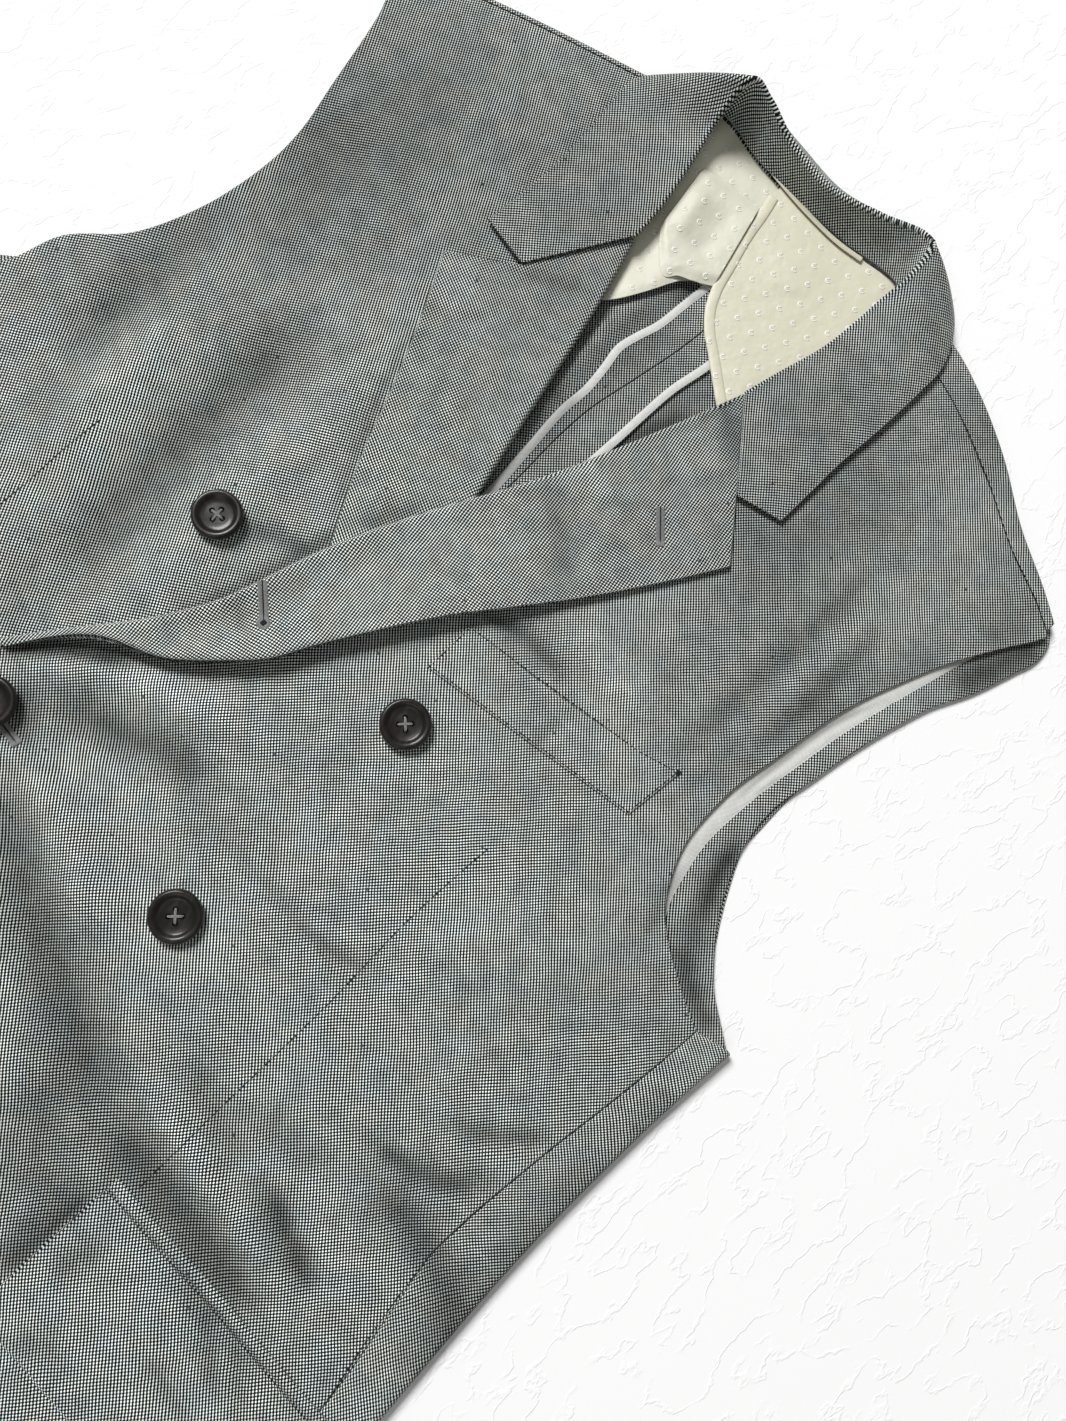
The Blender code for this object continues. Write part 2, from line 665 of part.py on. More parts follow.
def lining_half(name, hem, level):
    """Half of the shoulder lining, from the neck and shoulder down to its free edge."""
    grid = []
    for share in share_steps(LINING_ROWS):
        points = [(x, y + share * (lining_top(x) - y), level) for x, y in hem]
        grid.append(points)
    return closed_sheet(name, grid, LINING, "lining")


def flat_strip(name, edge_a, edge_b, level, thickness, finish):
    """A flat strip between two edges, given as lists of points."""
    grid = [[(*a, level), (*b, level)] for a, b in zip(edge_a, edge_b)]
    return closed_sheet(name, grid, thickness, finish)


def offset_line(points, distance):
    """The line moved sideways: to the left of its direction for a positive distance."""
    line = np.array(points, dtype=float)
    tangent = np.gradient(line, axis=0)
    tangent /= np.linalg.norm(tangent, axis=1, keepdims=True)
    return line + distance * np.column_stack((-tangent[:, 1], tangent[:, 0]))


def centre_back_allowances():
    """The pressed-open seam allowances and the bindings on their edges."""
    pieces = []
    ends_y = (HEM_Y + ALLOWANCE_HEM_INSET, ALLOWANCE_TOP_Y)
    for side, name, width in ((1, "left", ALLOWANCE_LEFT_WIDTH), (-1, "right", ALLOWANCE_RIGHT_WIDTH)):
        inner = [(CENTRE_BACK_X + side * GAP, y) for y in ends_y]
        middle = [(CENTRE_BACK_X + side * width, y) for y in ends_y]
        start = [(x + side * GAP, y) for x, y in middle]
        outer = [(x + side * BINDING_WIDTH, y) for x, y in start]
        cloth = flat_strip(f"seam_allowance_{name}", inner, middle, ALLOWANCE_LEVEL, CLOTH, "wool")
        bound = flat_strip(f"seam_binding_{name}", start, outer, ALLOWANCE_LEVEL, BINDING, "binding")
        pieces += [cloth, bound]
    return pieces


def armhole_facing():
    """The facing inside the left armhole and the binding along its free edge."""
    edge = ARMHOLE_LEFT
    inside = offset_line(edge, ARMHOLE_FACING_WIDTH)
    start = offset_line(edge, ARMHOLE_FACING_WIDTH + GAP)
    free = offset_line(edge, ARMHOLE_FACING_WIDTH + GAP + ARMHOLE_BINDING_WIDTH)
    return [
        flat_strip("armhole_facing", edge, inside, ALLOWANCE_LEVEL, CLOTH, "wool"),
        flat_strip("armhole_binding", start, free, ALLOWANCE_LEVEL, BINDING, "binding"),
    ]


def patch(name, outline, level, clearance, thickness):
    """A flat-cut piece on a front; outline(s, t) gives x and y for shares 0 to 1."""
    grid = []
    for t in share_steps(PATCH_ROWS):
        points = []
        for s in share_steps(PATCH_COLUMNS):
            x, y = outline(s, t)
            points.append((x, y, level(x, y) + (CLOTH + thickness) / 2 + clearance))
        grid.append(points)
    return closed_sheet(name, grid, thickness, "wool")


def breast_welt():
    """The slanted breast pocket welt on the left front."""
    low_in, low_out, high_out, high_in = (np.array(p, dtype=float) for p in WELT_CORNERS)

    def outline(s, t):
        return (low_in + s * (low_out - low_in)) * (1 - t) + (high_in + s * (high_out - high_in)) * t

    return patch("breast_welt", outline, front_left_level, PATCH_CLEARANCE, CLOTH)


def hip_pocket(side, name, level):
    """A hip pocket: its flap and the jet that the flap hangs from."""

    def flap_outline(s, t):
        from_end = min(s, 1 - s) * FLAP_WIDTH
        drop = FLAP_DEPTH
        if from_end < FLAP_CORNER:
            drop -= FLAP_CORNER - math.sqrt(FLAP_CORNER**2 - (FLAP_CORNER - from_end) ** 2)
        return side * (FLAP_FRONT_X + s * FLAP_WIDTH), FLAP_TOP_Y - drop * t

    def jet_outline(s, t):
        return side * (FLAP_FRONT_X + s * FLAP_WIDTH), FLAP_TOP_Y + GAP + JET_HEIGHT * t

    return [
        patch(f"hip_flap_{name}", flap_outline, level, PATCH_CLEARANCE, CLOTH),
        patch(f"hip_jet_{name}", jet_outline, level, PATCH_CLEARANCE, CLOTH),
    ]


def ring(bm, radius, height):
    """A ring of the button's turned profile, or its one point on the axis."""
    if radius == 0:
        return [bm.verts.new((0, 0, height * MM))]
    angles = [2 * math.pi * k / BUTTON_SEGMENTS for k in range(BUTTON_SEGMENTS)]
    spots = [Vector((radius * math.cos(a), radius * math.sin(a), height)) for a in angles]
    return [bm.verts.new(spot * MM) for spot in spots]


def button(spec, level):
    """A four-hole button, turned from its profile, resting on the front's cloth."""
    bm = bmesh.new()
    rings = [ring(bm, radius, height) for radius, height in BUTTON_PROFILE]
    for first, second in zip(rings, rings[1:]):
        for k in range(BUTTON_SEGMENTS):
            m = (k + 1) % BUTTON_SEGMENTS
            corners = [first[k % len(first)], second[k % len(second)]]
            corners += [second[m % len(second)], first[m % len(first)]]
            bm.faces.new(list(dict.fromkeys(corners)))
    piece = finish_piece(spec.name, bm, "horn")
    cut_button_holes(piece)
    quarters = [Matrix.Rotation(k * math.pi / 2, 2) @ Vector((BUTTON_RADIUS, 0)) for k in range(4)]
    under = [level(spec.x + q.x, spec.y + q.y) for q in quarters] + [level(spec.x, spec.y)]
    place = Vector((spec.x, spec.y, max(under) + CLOTH / 2 + BUTTON_SEAT))
    piece.data.transform(Matrix.Translation(place * MM) @ Matrix.Rotation(spec.turn, 4, "Z"))
    piece.data.shade_smooth()
    piece.data.set_sharp_from_angle(angle=BUTTON_CREASE)
    return piece


def cut_button_holes(piece):
    """Drills the four sewing holes through the button."""
    bm = bmesh.new()
    for k in range(4):
        turned = Matrix.Rotation(math.pi / 4 + k * math.pi / 2, 4, "Z")
        place = turned @ Matrix.Translation((BUTTON_HOLE_REACH * MM, 0, 0))
        bmesh.ops.create_cone(
            bm,
            cap_ends=True,
            segments=8,
            radius1=BUTTON_HOLE_RADIUS * MM,
            radius2=BUTTON_HOLE_RADIUS * MM,
            depth=2 * BUTTON_HOLE_DEPTH * MM,
            matrix=place,
        )
    cutter_mesh = bpy.data.meshes.new("button_drill")
    bm.to_mesh(cutter_mesh)
    bm.free()
    cutter = bpy.data.objects.new("button_drill", cutter_mesh)
    bpy.context.scene.collection.objects.link(cutter)
    drill = piece.modifiers.new("holes", "BOOLEAN")
    drill.operation = "DIFFERENCE"
    drill.solver = "EXACT"
    drill.object = cutter
    bpy.context.view_layer.update()
    graph = bpy.context.evaluated_depsgraph_get()
    drilled = bpy.data.meshes.new_from_object(piece.evaluated_get(graph))
    piece.modifiers.clear()
    piece.data = drilled
    bpy.data.objects.remove(cutter)


def hanger_loop():
    """The narrow loop across the back of the neck."""
    start, end = (np.array(p, dtype=float) for p in HANGER_ENDS)
    line = []
    for share in share_steps(HANGER_STEPS):
        point = start + share * (end - start)
        line.append((point[0], point[1] - HANGER_SAG * arch(share)))
    upper = offset_line(line, HANGER_WIDTH / 2)
    lower = offset_line(line, -HANGER_WIDTH / 2)
    return flat_strip("hanger_loop", lower, upper, HANGER_LEVEL, CLOTH, "lining")


def centre_over_origin(pieces):
    """Moves the whole coat so that its box stands centred on the origin."""
    points = np.array([vertex.co for piece in pieces for vertex in piece.data.vertices])
    low, high = points.min(axis=0), points.max(axis=0)
    shift = Matrix.Translation((-(low[0] + high[0]) / 2, -(low[1] + high[1]) / 2, -low[2]))
    for piece in pieces:
        piece.data.transform(shift)


def build():
    """Makes every piece of the coat."""
    for old in list(bpy.data.objects):
        bpy.data.objects.remove(old)
    levels = {"left": front_left_level, "right": front_right_level}
    pieces = [
        back_half("back_left", BACK_LEFT, BACK_COLUMNS),
        back_half("back_right", BACK_RIGHT, BACK_COLUMNS),
        side_panel("side_panel_left", SIDE_LEFT),
        side_panel("side_panel_right", SIDE_RIGHT),
        front_panel("front_right", FRONT_RIGHT, front_right_level, ROLL_ROWS_RIGHT, FRONT_COLUMNS),
        front_panel("front_left", FRONT_LEFT, front_left_level, ROLL_ROWS_LEFT, FRONT_COLUMNS),
        lapel("lapel_right", LAPEL_RIGHT, NOTCH_RIGHT, front_right_level),
        lapel("lapel_left", LAPEL_LEFT, NOTCH_LEFT, front_left_level),
        collar(),
        lining_half("lining_right", LINING_RIGHT_HEM, LINING_RIGHT_LEVEL),
        lining_half("lining_left", LINING_LEFT_HEM, LINING_LEFT_LEVEL),
        hanger_loop(),
        breast_welt(),
    ]
    pieces += centre_back_allowances()
    pieces += armhole_facing()
    pieces += hip_pocket(1, "left", front_left_level)
    pieces += hip_pocket(-1, "right", front_right_level)
    pieces += [button(spec, levels[spec.side]) for spec in BUTTONS]
    centre_over_origin(pieces)
    coat = bpy.data.objects.new("coat", None)
    bpy.context.scene.collection.objects.link(coat)
    for piece in pieces:
        piece.parent = coat


build()
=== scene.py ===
"""A sleeveless double-breasted wool coat, laid flat: its cloth, lining, stitching and buttons.

Sizes are in millimetres on the coat's own plan: X to the wearer's left, Y to the
neck and Z up from the table, with zero on the centre front line level with the
upper buttons. Plan.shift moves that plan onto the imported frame.
"""

from __future__ import annotations

import logging
import math
from dataclasses import dataclass, field
from enum import Enum
from typing import ClassVar, Sequence

import bmesh
import bpy
import numpy as np
from mathutils import Matrix, Vector

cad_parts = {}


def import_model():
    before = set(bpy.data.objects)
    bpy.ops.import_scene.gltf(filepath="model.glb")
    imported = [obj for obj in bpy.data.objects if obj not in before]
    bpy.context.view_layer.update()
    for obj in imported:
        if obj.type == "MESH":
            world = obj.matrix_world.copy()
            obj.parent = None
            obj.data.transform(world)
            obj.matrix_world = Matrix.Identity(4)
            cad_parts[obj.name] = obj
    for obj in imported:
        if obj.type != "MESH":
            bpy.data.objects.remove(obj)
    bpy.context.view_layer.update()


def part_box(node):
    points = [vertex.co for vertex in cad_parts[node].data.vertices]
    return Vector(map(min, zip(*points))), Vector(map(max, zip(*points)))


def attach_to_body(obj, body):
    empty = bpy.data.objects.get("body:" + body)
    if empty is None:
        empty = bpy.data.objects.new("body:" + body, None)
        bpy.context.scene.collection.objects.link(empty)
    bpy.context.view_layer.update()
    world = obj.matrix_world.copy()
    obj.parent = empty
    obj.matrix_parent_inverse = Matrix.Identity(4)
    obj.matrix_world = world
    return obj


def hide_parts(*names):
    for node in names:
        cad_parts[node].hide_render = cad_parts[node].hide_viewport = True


log = logging.getLogger("coat")

MM = 0.001
BODY = "root"
CLOTH_MARKS = "cloth_marks"

Array = np.ndarray
Piece = bpy.types.Object
Socket = bpy.types.NodeSocket
XY = tuple[float, float]
XYZ = tuple[float, float, float]
Rows = Sequence[tuple[float, ...]]
Colour = tuple[float, float, float]


# ------------ plain geometry


def ease(value: Array | float) -> Array:
    """A soft step from 0 at 0 to 1 at 1."""
    t = np.clip(value, 0.0, 1.0)
    return t * t * (3 - 2 * t)


def arch(share: Array | float) -> Array | float:
    """0 at both ends of a run and 1 in the middle."""
    return 4 * share * (1 - share)


def unit(vectors: Array) -> Array:
    """The vectors along the last axis, each made one long."""
    size = np.linalg.norm(vectors, axis=-1, keepdims=True)
    return vectors / np.maximum(size, 1e-9)


def running(steps: Array) -> Array:
    """Running totals along the last axis, from 0."""
    return np.concatenate([np.zeros((*steps.shape[:-1], 1)), np.cumsum(steps, axis=-1)], axis=-1)


def chord_knots(rows: Array) -> Array:
    """Running length along the first axis of a table of points.

    Args:
        rows: points, with the places to walk through along the first axis.

    Returns:
        One number for each row, from 0.
    """
    steps = np.linalg.norm(np.diff(rows, axis=0), axis=-1)
    if steps.ndim > 1:
        steps = steps.max(axis=1)
    return running(np.maximum(steps, 1e-6))


def sample_knots(knots: Array, spacing: float | Array) -> Array:
    """Even samples between knots, with every knot kept.

    Args:
        knots: running lengths.
        spacing: the longest step between samples, for all of them or for each gap.

    Returns:
        The samples, from the first knot to the last.
    """
    samples: list[float] = []
    steps = np.broadcast_to(spacing, len(knots) - 1)
    for start, end, step in zip(knots, knots[1:], steps):
        count = max(1, math.ceil((end - start) / step - 1e-9))
        samples += [start + (end - start) * k / count for k in range(count)]
    return np.array(samples + [knots[-1]])


def soft_run(rows: Array, knots: Array, at: Array) -> Array:
    """A smooth curve through rows, with no corner.

    Args:
        rows: values at the knots, along the first axis.
        knots: where the rows stand.
        at: where values are wanted.

    Returns:
        The values, along the first axis.
    """
    if len(rows) == 2:
        share = ((at - knots[0]) / (knots[1] - knots[0])).reshape(-1, *[1] * (rows.ndim - 1))
        return rows[0] + share * (rows[1] - rows[0])
    wide = (-1, *[1] * (rows.ndim - 1))
    gaps = np.diff(knots).reshape(wide)
    slopes = np.diff(rows, axis=0) / gaps
    middle = (slopes[:-1] * gaps[1:] + slopes[1:] * gaps[:-1]) / (gaps[1:] + gaps[:-1])
    first = (3 * slopes[:1] - middle[:1]) / 2
    last = (3 * slopes[-1:] - middle[-1:]) / 2
    tangents = np.concatenate([first, middle, last])
    span = np.clip(np.searchsorted(knots, at, side="right") - 1, 0, len(knots) - 2)
    gap = gaps[span]
    t = ((at - knots[span]).reshape(wide)) / gap
    start, end = rows[span], rows[span + 1]
    lead, trail = tangents[span] * gap, tangents[span + 1] * gap
    return (
        (2 * t**3 - 3 * t**2 + 1) * start
        + (t**3 - 2 * t**2 + t) * lead
        + (3 * t**2 - 2 * t**3) * end
        + (t**3 - t**2) * trail
    )


def soft_rows(rows: Array, knots: Array, at: Array, corners: Sequence[int] = ()) -> Array:
    """A smooth curve through rows that keeps its corners sharp.

    Args:
        rows: values at the knots, along the first axis.
        knots: where the rows stand.
        at: where values are wanted, rising.
        corners: indexes of the rows at which the curve turns sharply.

    Returns:
        The values, along the first axis.
    """
    cuts = [0, *sorted(corners), len(rows) - 1]
    parts = []
    for low, high in zip(cuts, cuts[1:]):
        inside = (at >= knots[low]) & (at < knots[high])
        if high == len(rows) - 1:
            inside |= at >= knots[high]
        if inside.any():
            parts.append(soft_run(rows[low : high + 1], knots[low : high + 1], at[inside]))
    return np.concatenate(parts)


def soft_line(
    points: Sequence[Sequence[float]], spacing: float | Array, corners: Sequence[int] = ()
) -> Array:
    """Closely spaced points on a smooth line through a few points.

    Args:
        points: the points to pass through.
        spacing: the longest step between the points made, for all or for each gap.
        corners: indexes of the points where the line turns sharply.

    Returns:
        The closely spaced points.
    """
    rows = np.array(points, dtype=float)
    knots = chord_knots(rows)
    return soft_rows(rows, knots, sample_knots(knots, spacing), corners)


def line_frame(line: Array) -> tuple[Array, Array]:
    """The unit directions along a flat line and to its left, at each of its points."""
    tangent = unit(np.gradient(line[:, :2], axis=0))
    return tangent, np.column_stack((-tangent[:, 1], tangent[:, 0]))


def offset_line(line: Array, distance: float) -> Array:
    """A flat line moved sideways, to the left of its direction for a positive distance."""
    return line[:, :2] + distance * line_frame(line)[1]


def crowded(count: int, power: float = 1.0) -> Array:
    """count + 1 shares from 0 to 1, closer together at 0 when power is over 1."""
    return np.linspace(0.0, 1.0, count + 1) ** power


def line_place(line: Array, x: Array, y: Array) -> tuple[Array, Array]:
    """Where points lie by a line on the plan.

    Args:
        line: the line's points.
        x: places across the coat.
        y: places along the coat.

    Returns:
        The distance from the line, and the share of the way along it.
    """
    knots = chord_knots(line[:, :2])
    best = np.full(np.shape(x), np.inf)
    share = np.zeros(np.shape(x))
    for start, end, begun in zip(line, line[1:], knots):
        dx, dy = end[0] - start[0], end[1] - start[1]
        size = math.hypot(dx, dy)
        t = np.clip(((x - start[0]) * dx + (y - start[1]) * dy) / size**2, 0, 1)
        off = np.hypot(x - start[0] - t * dx, y - start[1] - t * dy)
        share = np.where(off < best, (begun + t * size) / knots[-1], share)
        best = np.minimum(best, off)
    return best, share


@dataclass(frozen=True)
class Stroke:
    """A soft mark along a line on the cloth: a crease's height, with painted shade along it (painted light
    where shade is above 0).
    """

    line: tuple[XY, ...]
    half_width: float
    amount: float
    shade: float = 0.0
    reach_widths: ClassVar[float] = 2.6
    edge_blend: ClassVar[float] = 0.6
    end_share: ClassVar[float] = 0.15
    end_run: ClassVar[float] = 0.25

    def reach(self, x: Array, y: Array) -> Array:
        """How much of the stroke lies at points of the plan.

        Args:
            x: places across the coat.
            y: places along the coat.

        Returns:
            1 on the stroke's line, fading to 0.
        """
        result = np.zeros(np.shape(x))
        line = soft_line(self.line, self.half_width)
        edge = self.reach_widths * self.half_width
        near = (x > line[:, 0].min() - edge) & (x < line[:, 0].max() + edge)
        near &= (y > line[:, 1].min() - edge) & (y < line[:, 1].max() + edge)
        distance, share = line_place(line, x[near], y[near])
        ends = ease(np.minimum(share, 1 - share) / self.end_run)
        ends = self.end_share + (1 - self.end_share) * ends
        off = distance / self.half_width
        result[near] = ends * np.exp(-(off**2)) * ease((self.reach_widths - off) / self.edge_blend)
        return result


def strokes(*rows: tuple[float, ...]) -> tuple[Stroke, ...]:
    """Strokes from rows of numbers.

    Args:
        rows: half width, amount and painted shade, then x and y of each point of the line.

    Returns:
        The strokes, in the rows' order.
    """
    return tuple(Stroke(tuple(zip(row[3::2], row[4::2])), *row[:3]) for row in rows)


def painted_shade_of(shades: Sequence[Stroke], points: Array) -> Array:
    """The painted shade and light on the cloth at a grid of points, as a colour multiplier, 1 where no stroke
    reaches.

    Args:
        shades: the strokes.
        points: the points.

    Returns:
        One number for each point.
    """
    x, y = points[..., 0], points[..., 1]
    tone = np.ones(np.shape(x))
    for stroke in shades:
        if stroke.shade:
            tone *= 1 + stroke.shade * stroke.reach(x, y)
    return tone


# ------------ layers


@dataclass(frozen=True)
class Layers:
    """Thicknesses of the cloths, and the heights of the layers that lie on each other."""

    cloth: float = 0.9
    lining: float = 0.5
    lapel: float = 1.7
    collar: float = 1.5
    back: float = 0.5
    allowance: float = 1.8
    lining_right: float = 3.1
    lining_left: float = 4.4
    front: float = 5.7
    ply_step: float = 2.1
    fold_radius: float = 2.6

    @property
    def fold_inset(self) -> float:
        """How far the middle of the cloth stays inside the outline where it folds."""
        return self.cloth / 2 + self.fold_radius


LAYERS = Layers()


@dataclass
class Plan:
    """Where the coat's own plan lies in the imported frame."""

    hem_y: float = -500.0
    shift: Vector = field(default_factory=lambda: Vector((0.0, 0.0, 0.0)))

    def settle(self) -> None:
        """Reads the shift from the left front's hem, which lies at hem_y on the plan."""
        low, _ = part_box("front_left")
        self.shift = Vector((0.0, low.y - self.hem_y * MM, 0.0))

    def place(self, points: Array) -> Array:
        """Points of the plan in millimetres, in the frame's metres."""
        return points * MM + np.array(self.shift)


PLAN = Plan()


@dataclass(frozen=True)
class Surface:
    """The middle of one layer of cloth, as a height over the plan."""

    level: float
    creases: tuple[Stroke, ...] = ()

    def height(self, x: Array, y: Array) -> Array:
        """The cloth's height at places of the plan.

        Args:
            x: places across the coat.
            y: places along the coat.

        Returns:
            The height of the middle of the cloth.
        """
        height = np.full(np.shape(x), float(self.level))
        for crease in self.creases:
            if crease.amount:
                height += crease.amount * crease.reach(x, y)
        return height

    def on(self, plan: Array, lift: float | Array = 0.0) -> Array:
        """Places of the plan laid on this surface.

        Args:
            plan: a line or a grid of points of the plan.
            lift: how far above the middle of the cloth they lie.

        Returns:
            The points, with their heights.
        """
        height = self.height(plan[..., 0], plan[..., 1]) + lift
        return np.concatenate([plan[..., :2], height[..., None]], axis=-1)


@dataclass(frozen=True)
class LappedSurface(Surface):
    """The left front, which laps over the right front and rides over its lapel."""

    rise: float = 1.8
    rise_from: XY = (205.0, 240.0)
    rise_over: XY = (100.0, 90.0)
    ride: Stroke = Stroke(((-6, 62), (56, -84)), 30.0, 2.2)
    ride_blend: float = 42.0

    def height(self, x: Array, y: Array) -> Array:
        """The cloth's height at places of the plan.

        Args:
            x: places across the coat.
            y: places along the coat.

        Returns:
            The height of the middle of the cloth.
        """
        (from_x, from_y), (over_x, over_y) = self.rise_from, self.rise_over
        lap = self.rise * ease((from_x - x) / over_x) * ease((from_y - y) / over_y)
        distance, _ = line_place(np.array(self.ride.line, dtype=float), x, y)
        reach = self.ride.half_width + self.ride_blend - distance
        return super().height(x, y) + lap + self.ride.amount * ease(reach / self.ride_blend)


@dataclass(frozen=True)
class TracedSurface(Surface):
    """A surface read from the points of a finished piece."""

    points: Array = field(default_factory=lambda: np.zeros((1, 3)))
    nearest: int = 5
    softness: float = 0.05

    def height(self, x: Array, y: Array) -> Array:
        """The piece's height at places of the plan, from its nearest points.

        Args:
            x: places across the coat.
            y: places along the coat.

        Returns:
            The height of the middle of the cloth.
        """
        spots = self.points.reshape(-1, 3)
        off = np.hypot(spots[:, 0] - np.ravel(x)[:, None], spots[:, 1] - np.ravel(y)[:, None])
        near = np.argsort(off, axis=1)[:, : self.nearest]
        weight = 1 / (np.take_along_axis(off, near, axis=1) + self.softness) ** 2
        height = (weight * spots[near, 2]).sum(axis=1) / weight.sum(axis=1)
        return height.reshape(np.shape(x))


@dataclass(frozen=True)
class UnderSurface(Surface):
    """The right front, which stays under the left one where they overlap."""

    over: Surface = Surface(LAYERS.front)
    inner_edge: tuple[XY, ...] = (
        (-95, -73), (-93, -60), (-69, -45), (-42, -28), (-8, -14), (-6, 400),
    )
    clearance: float = 1.4

    def height(self, x: Array, y: Array) -> Array:
        """The cloth's height at places of the plan.

        Args:
            x: places across the coat.
            y: places along the coat.

        Returns:
            The height of the middle of the cloth.
        """
        own = super().height(x, y)
        covered = x > np.interp(y, *zip(*self.inner_edge))
        return np.where(covered, np.minimum(own, self.over.height(x, y) - self.clearance), own)


# ------------ sheets of cloth


def surface_normals(points: Array) -> Array:
    """The unit normal at each point of a grid of points."""
    return unit(np.cross(np.gradient(points, axis=1), np.gradient(points, axis=0)))


@dataclass
class Sheet:
    """A cut piece of cloth: a grid over its middle, each point's place on the flat cloth, and its painted
    shade and light.
    """

    points: Array
    cloth: Array
    tone: Array
    rim_tone: float = 0.35

    @classmethod
    def laid(cls, points: Array, shades: Sequence[Stroke] = ()) -> Sheet:
        """A piece that lies flat enough for its place on the cloth to be its place on the plan.

        Args:
            points: the grid over the middle of the cloth.
            shades: strokes of painted shade and light on it.

        Returns:
            The sheet.
        """
        return cls(points, points[..., :2].copy(), painted_shade_of(shades, points))

    @classmethod
    def rolled(cls, points: Array, shades: Sequence[Stroke] = ()) -> Sheet:
        """A piece that turns over, whose place on the cloth is measured along the grid.

        Args:
            points: the grid over the middle of the cloth.
            shades: strokes of painted shade and light on it.

        Returns:
            The sheet.
        """
        u = running(np.linalg.norm(np.diff(points, axis=1), axis=-1))
        along = np.linalg.norm(np.diff(points, axis=0), axis=-1).mean(axis=1)
        v = running(along)[:, None] * np.ones(points.shape[1])
        return cls(points, np.stack([u, v], axis=-1), painted_shade_of(shades, points))

    def size(self) -> tuple[XY, float]:
        """The cut's smallest width and length, turned as fits it best, and its area, in metres.

        Returns:
            Width and length, then the area.
        """
        flat = self.cloth.reshape(-1, 2) * MM
        turns = np.radians(np.arange(0, 90))
        matrices = ([[math.cos(a), -math.sin(a)], [math.sin(a), math.cos(a)]] for a in turns)
        spans = [np.ptp(flat @ matrix, axis=0) for matrix in matrices]
        width, length = sorted(float(side) for side in min(spans, key=lambda span: span[0] * span[1]))
        normals = np.cross(np.diff(self.points[:-1], axis=1), np.diff(self.points[:, :-1], axis=0))
        area = float(np.linalg.norm(normals, axis=-1).sum()) * MM * MM
        return (width, length), min(area, width * length)

    def with_margins(self, margin: float) -> Sheet:
        """The sheet with one more row or column close inside each edge.

        Args:
            margin: how far inside the edge it lies, in millimetres.

        Returns:
            The new sheet.
        """
        grid = np.concatenate([self.points, self.cloth, self.tone[..., None]], axis=-1)
        for _ in range(2):
            for _ in range(2):
                step = np.linalg.norm((grid[1] - grid[0])[:, :3], axis=-1, keepdims=True)
                share = np.minimum(margin / np.maximum(step, 1e-6), 0.5)
                extra = grid[0] + share * (grid[1] - grid[0])
                grid = np.concatenate([grid[:1], extra[None], grid[1:]])[::-1]
            grid = grid.transpose(1, 0, 2)
        return Sheet(grid[..., :3], grid[..., 3:5], grid[..., 5])

    def to_object(self, name: str, thickness: float, edge: float = 0.6) -> Piece:
        """A closed thin shell with rounded edges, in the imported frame.

        Args:
            name: the new object's name.
            thickness: the cloth's thickness in millimetres.
            edge: how far in from the outline its faces start to round, in thicknesses.

        Returns:
            The object, linked to the scene.
        """
        sheet = self.with_margins(thickness)
        points, rows, columns = sheet.points, *sheet.points.shape[:2]
        pulled = points - self.outward(points) * thickness * edge / 2
        half = surface_normals(points) * thickness / 2
        index = np.arange(rows * columns).reshape(rows, columns)
        around = np.concatenate([index[0], index[1:, -1], index[-1, -2::-1], index[-2:0:-1, 0]])
        count = rows * columns
        upper = np.stack([index[:-1, :-1], index[:-1, 1:], index[1:, 1:], index[1:, :-1]], axis=-1)
        lower = upper[..., ::-1] + count
        rim = 2 * count + np.arange(len(around))
        after, rim_after = np.roll(around, -1), np.roll(rim, -1)
        sides = np.concatenate(
            [
                np.stack([around, rim, rim_after, after], axis=-1),
                np.stack([rim, around + count, after + count, rim_after], axis=-1),
            ]
        )
        flat = points.reshape(-1, 3)
        spots = np.concatenate([(pulled + half).reshape(-1, 3), (pulled - half).reshape(-1, 3), flat[around]])
        faces = np.concatenate([upper.reshape(-1, 4), lower.reshape(-1, 4), sides])
        marks = np.concatenate([sheet.cloth, sheet.tone[..., None]], axis=-1).reshape(-1, 3)
        rims = marks[around]
        rims[:, :2] += self.outward(sheet.cloth).reshape(-1, 2)[around] * thickness / 2
        # Painted shade: the cut edge round each piece is darkened.
        rims[:, 2] *= self.rim_tone
        return shell_object(name, spots, faces, np.concatenate([marks, marks, rims]))

    @staticmethod
    def outward(grid: Array) -> Array:
        """Unit directions out of the sheet along its border, and nothing inside it.

        Args:
            grid: rows and columns of points.

        Returns:
            One direction for each point.
        """
        away = np.zeros_like(grid)
        for edge, inside in ((0, 1), (-1, -2)):
            away[edge] += unit(grid[edge] - grid[inside])
            away[:, edge] += unit(grid[:, edge] - grid[:, inside])
        return away


def link_object(name: str, data: bpy.types.ID) -> Piece:
    """A new object with this data, linked to the scene.

    Args:
        name: the object's name.
        data: its mesh, light or camera.

    Returns:
        The object.
    """
    made = bpy.data.objects.new(name, data)
    bpy.context.scene.collection.objects.link(made)
    return made


def mark_cloth(mesh: bpy.types.Mesh, marks: Array) -> None:
    """Writes each point's place on the flat cloth and its painted shade where the finishes read them."""
    layer = mesh.attributes.new(CLOTH_MARKS, "FLOAT_VECTOR", "POINT")
    layer.data.foreach_set("vector", marks.astype(np.float32).ravel())


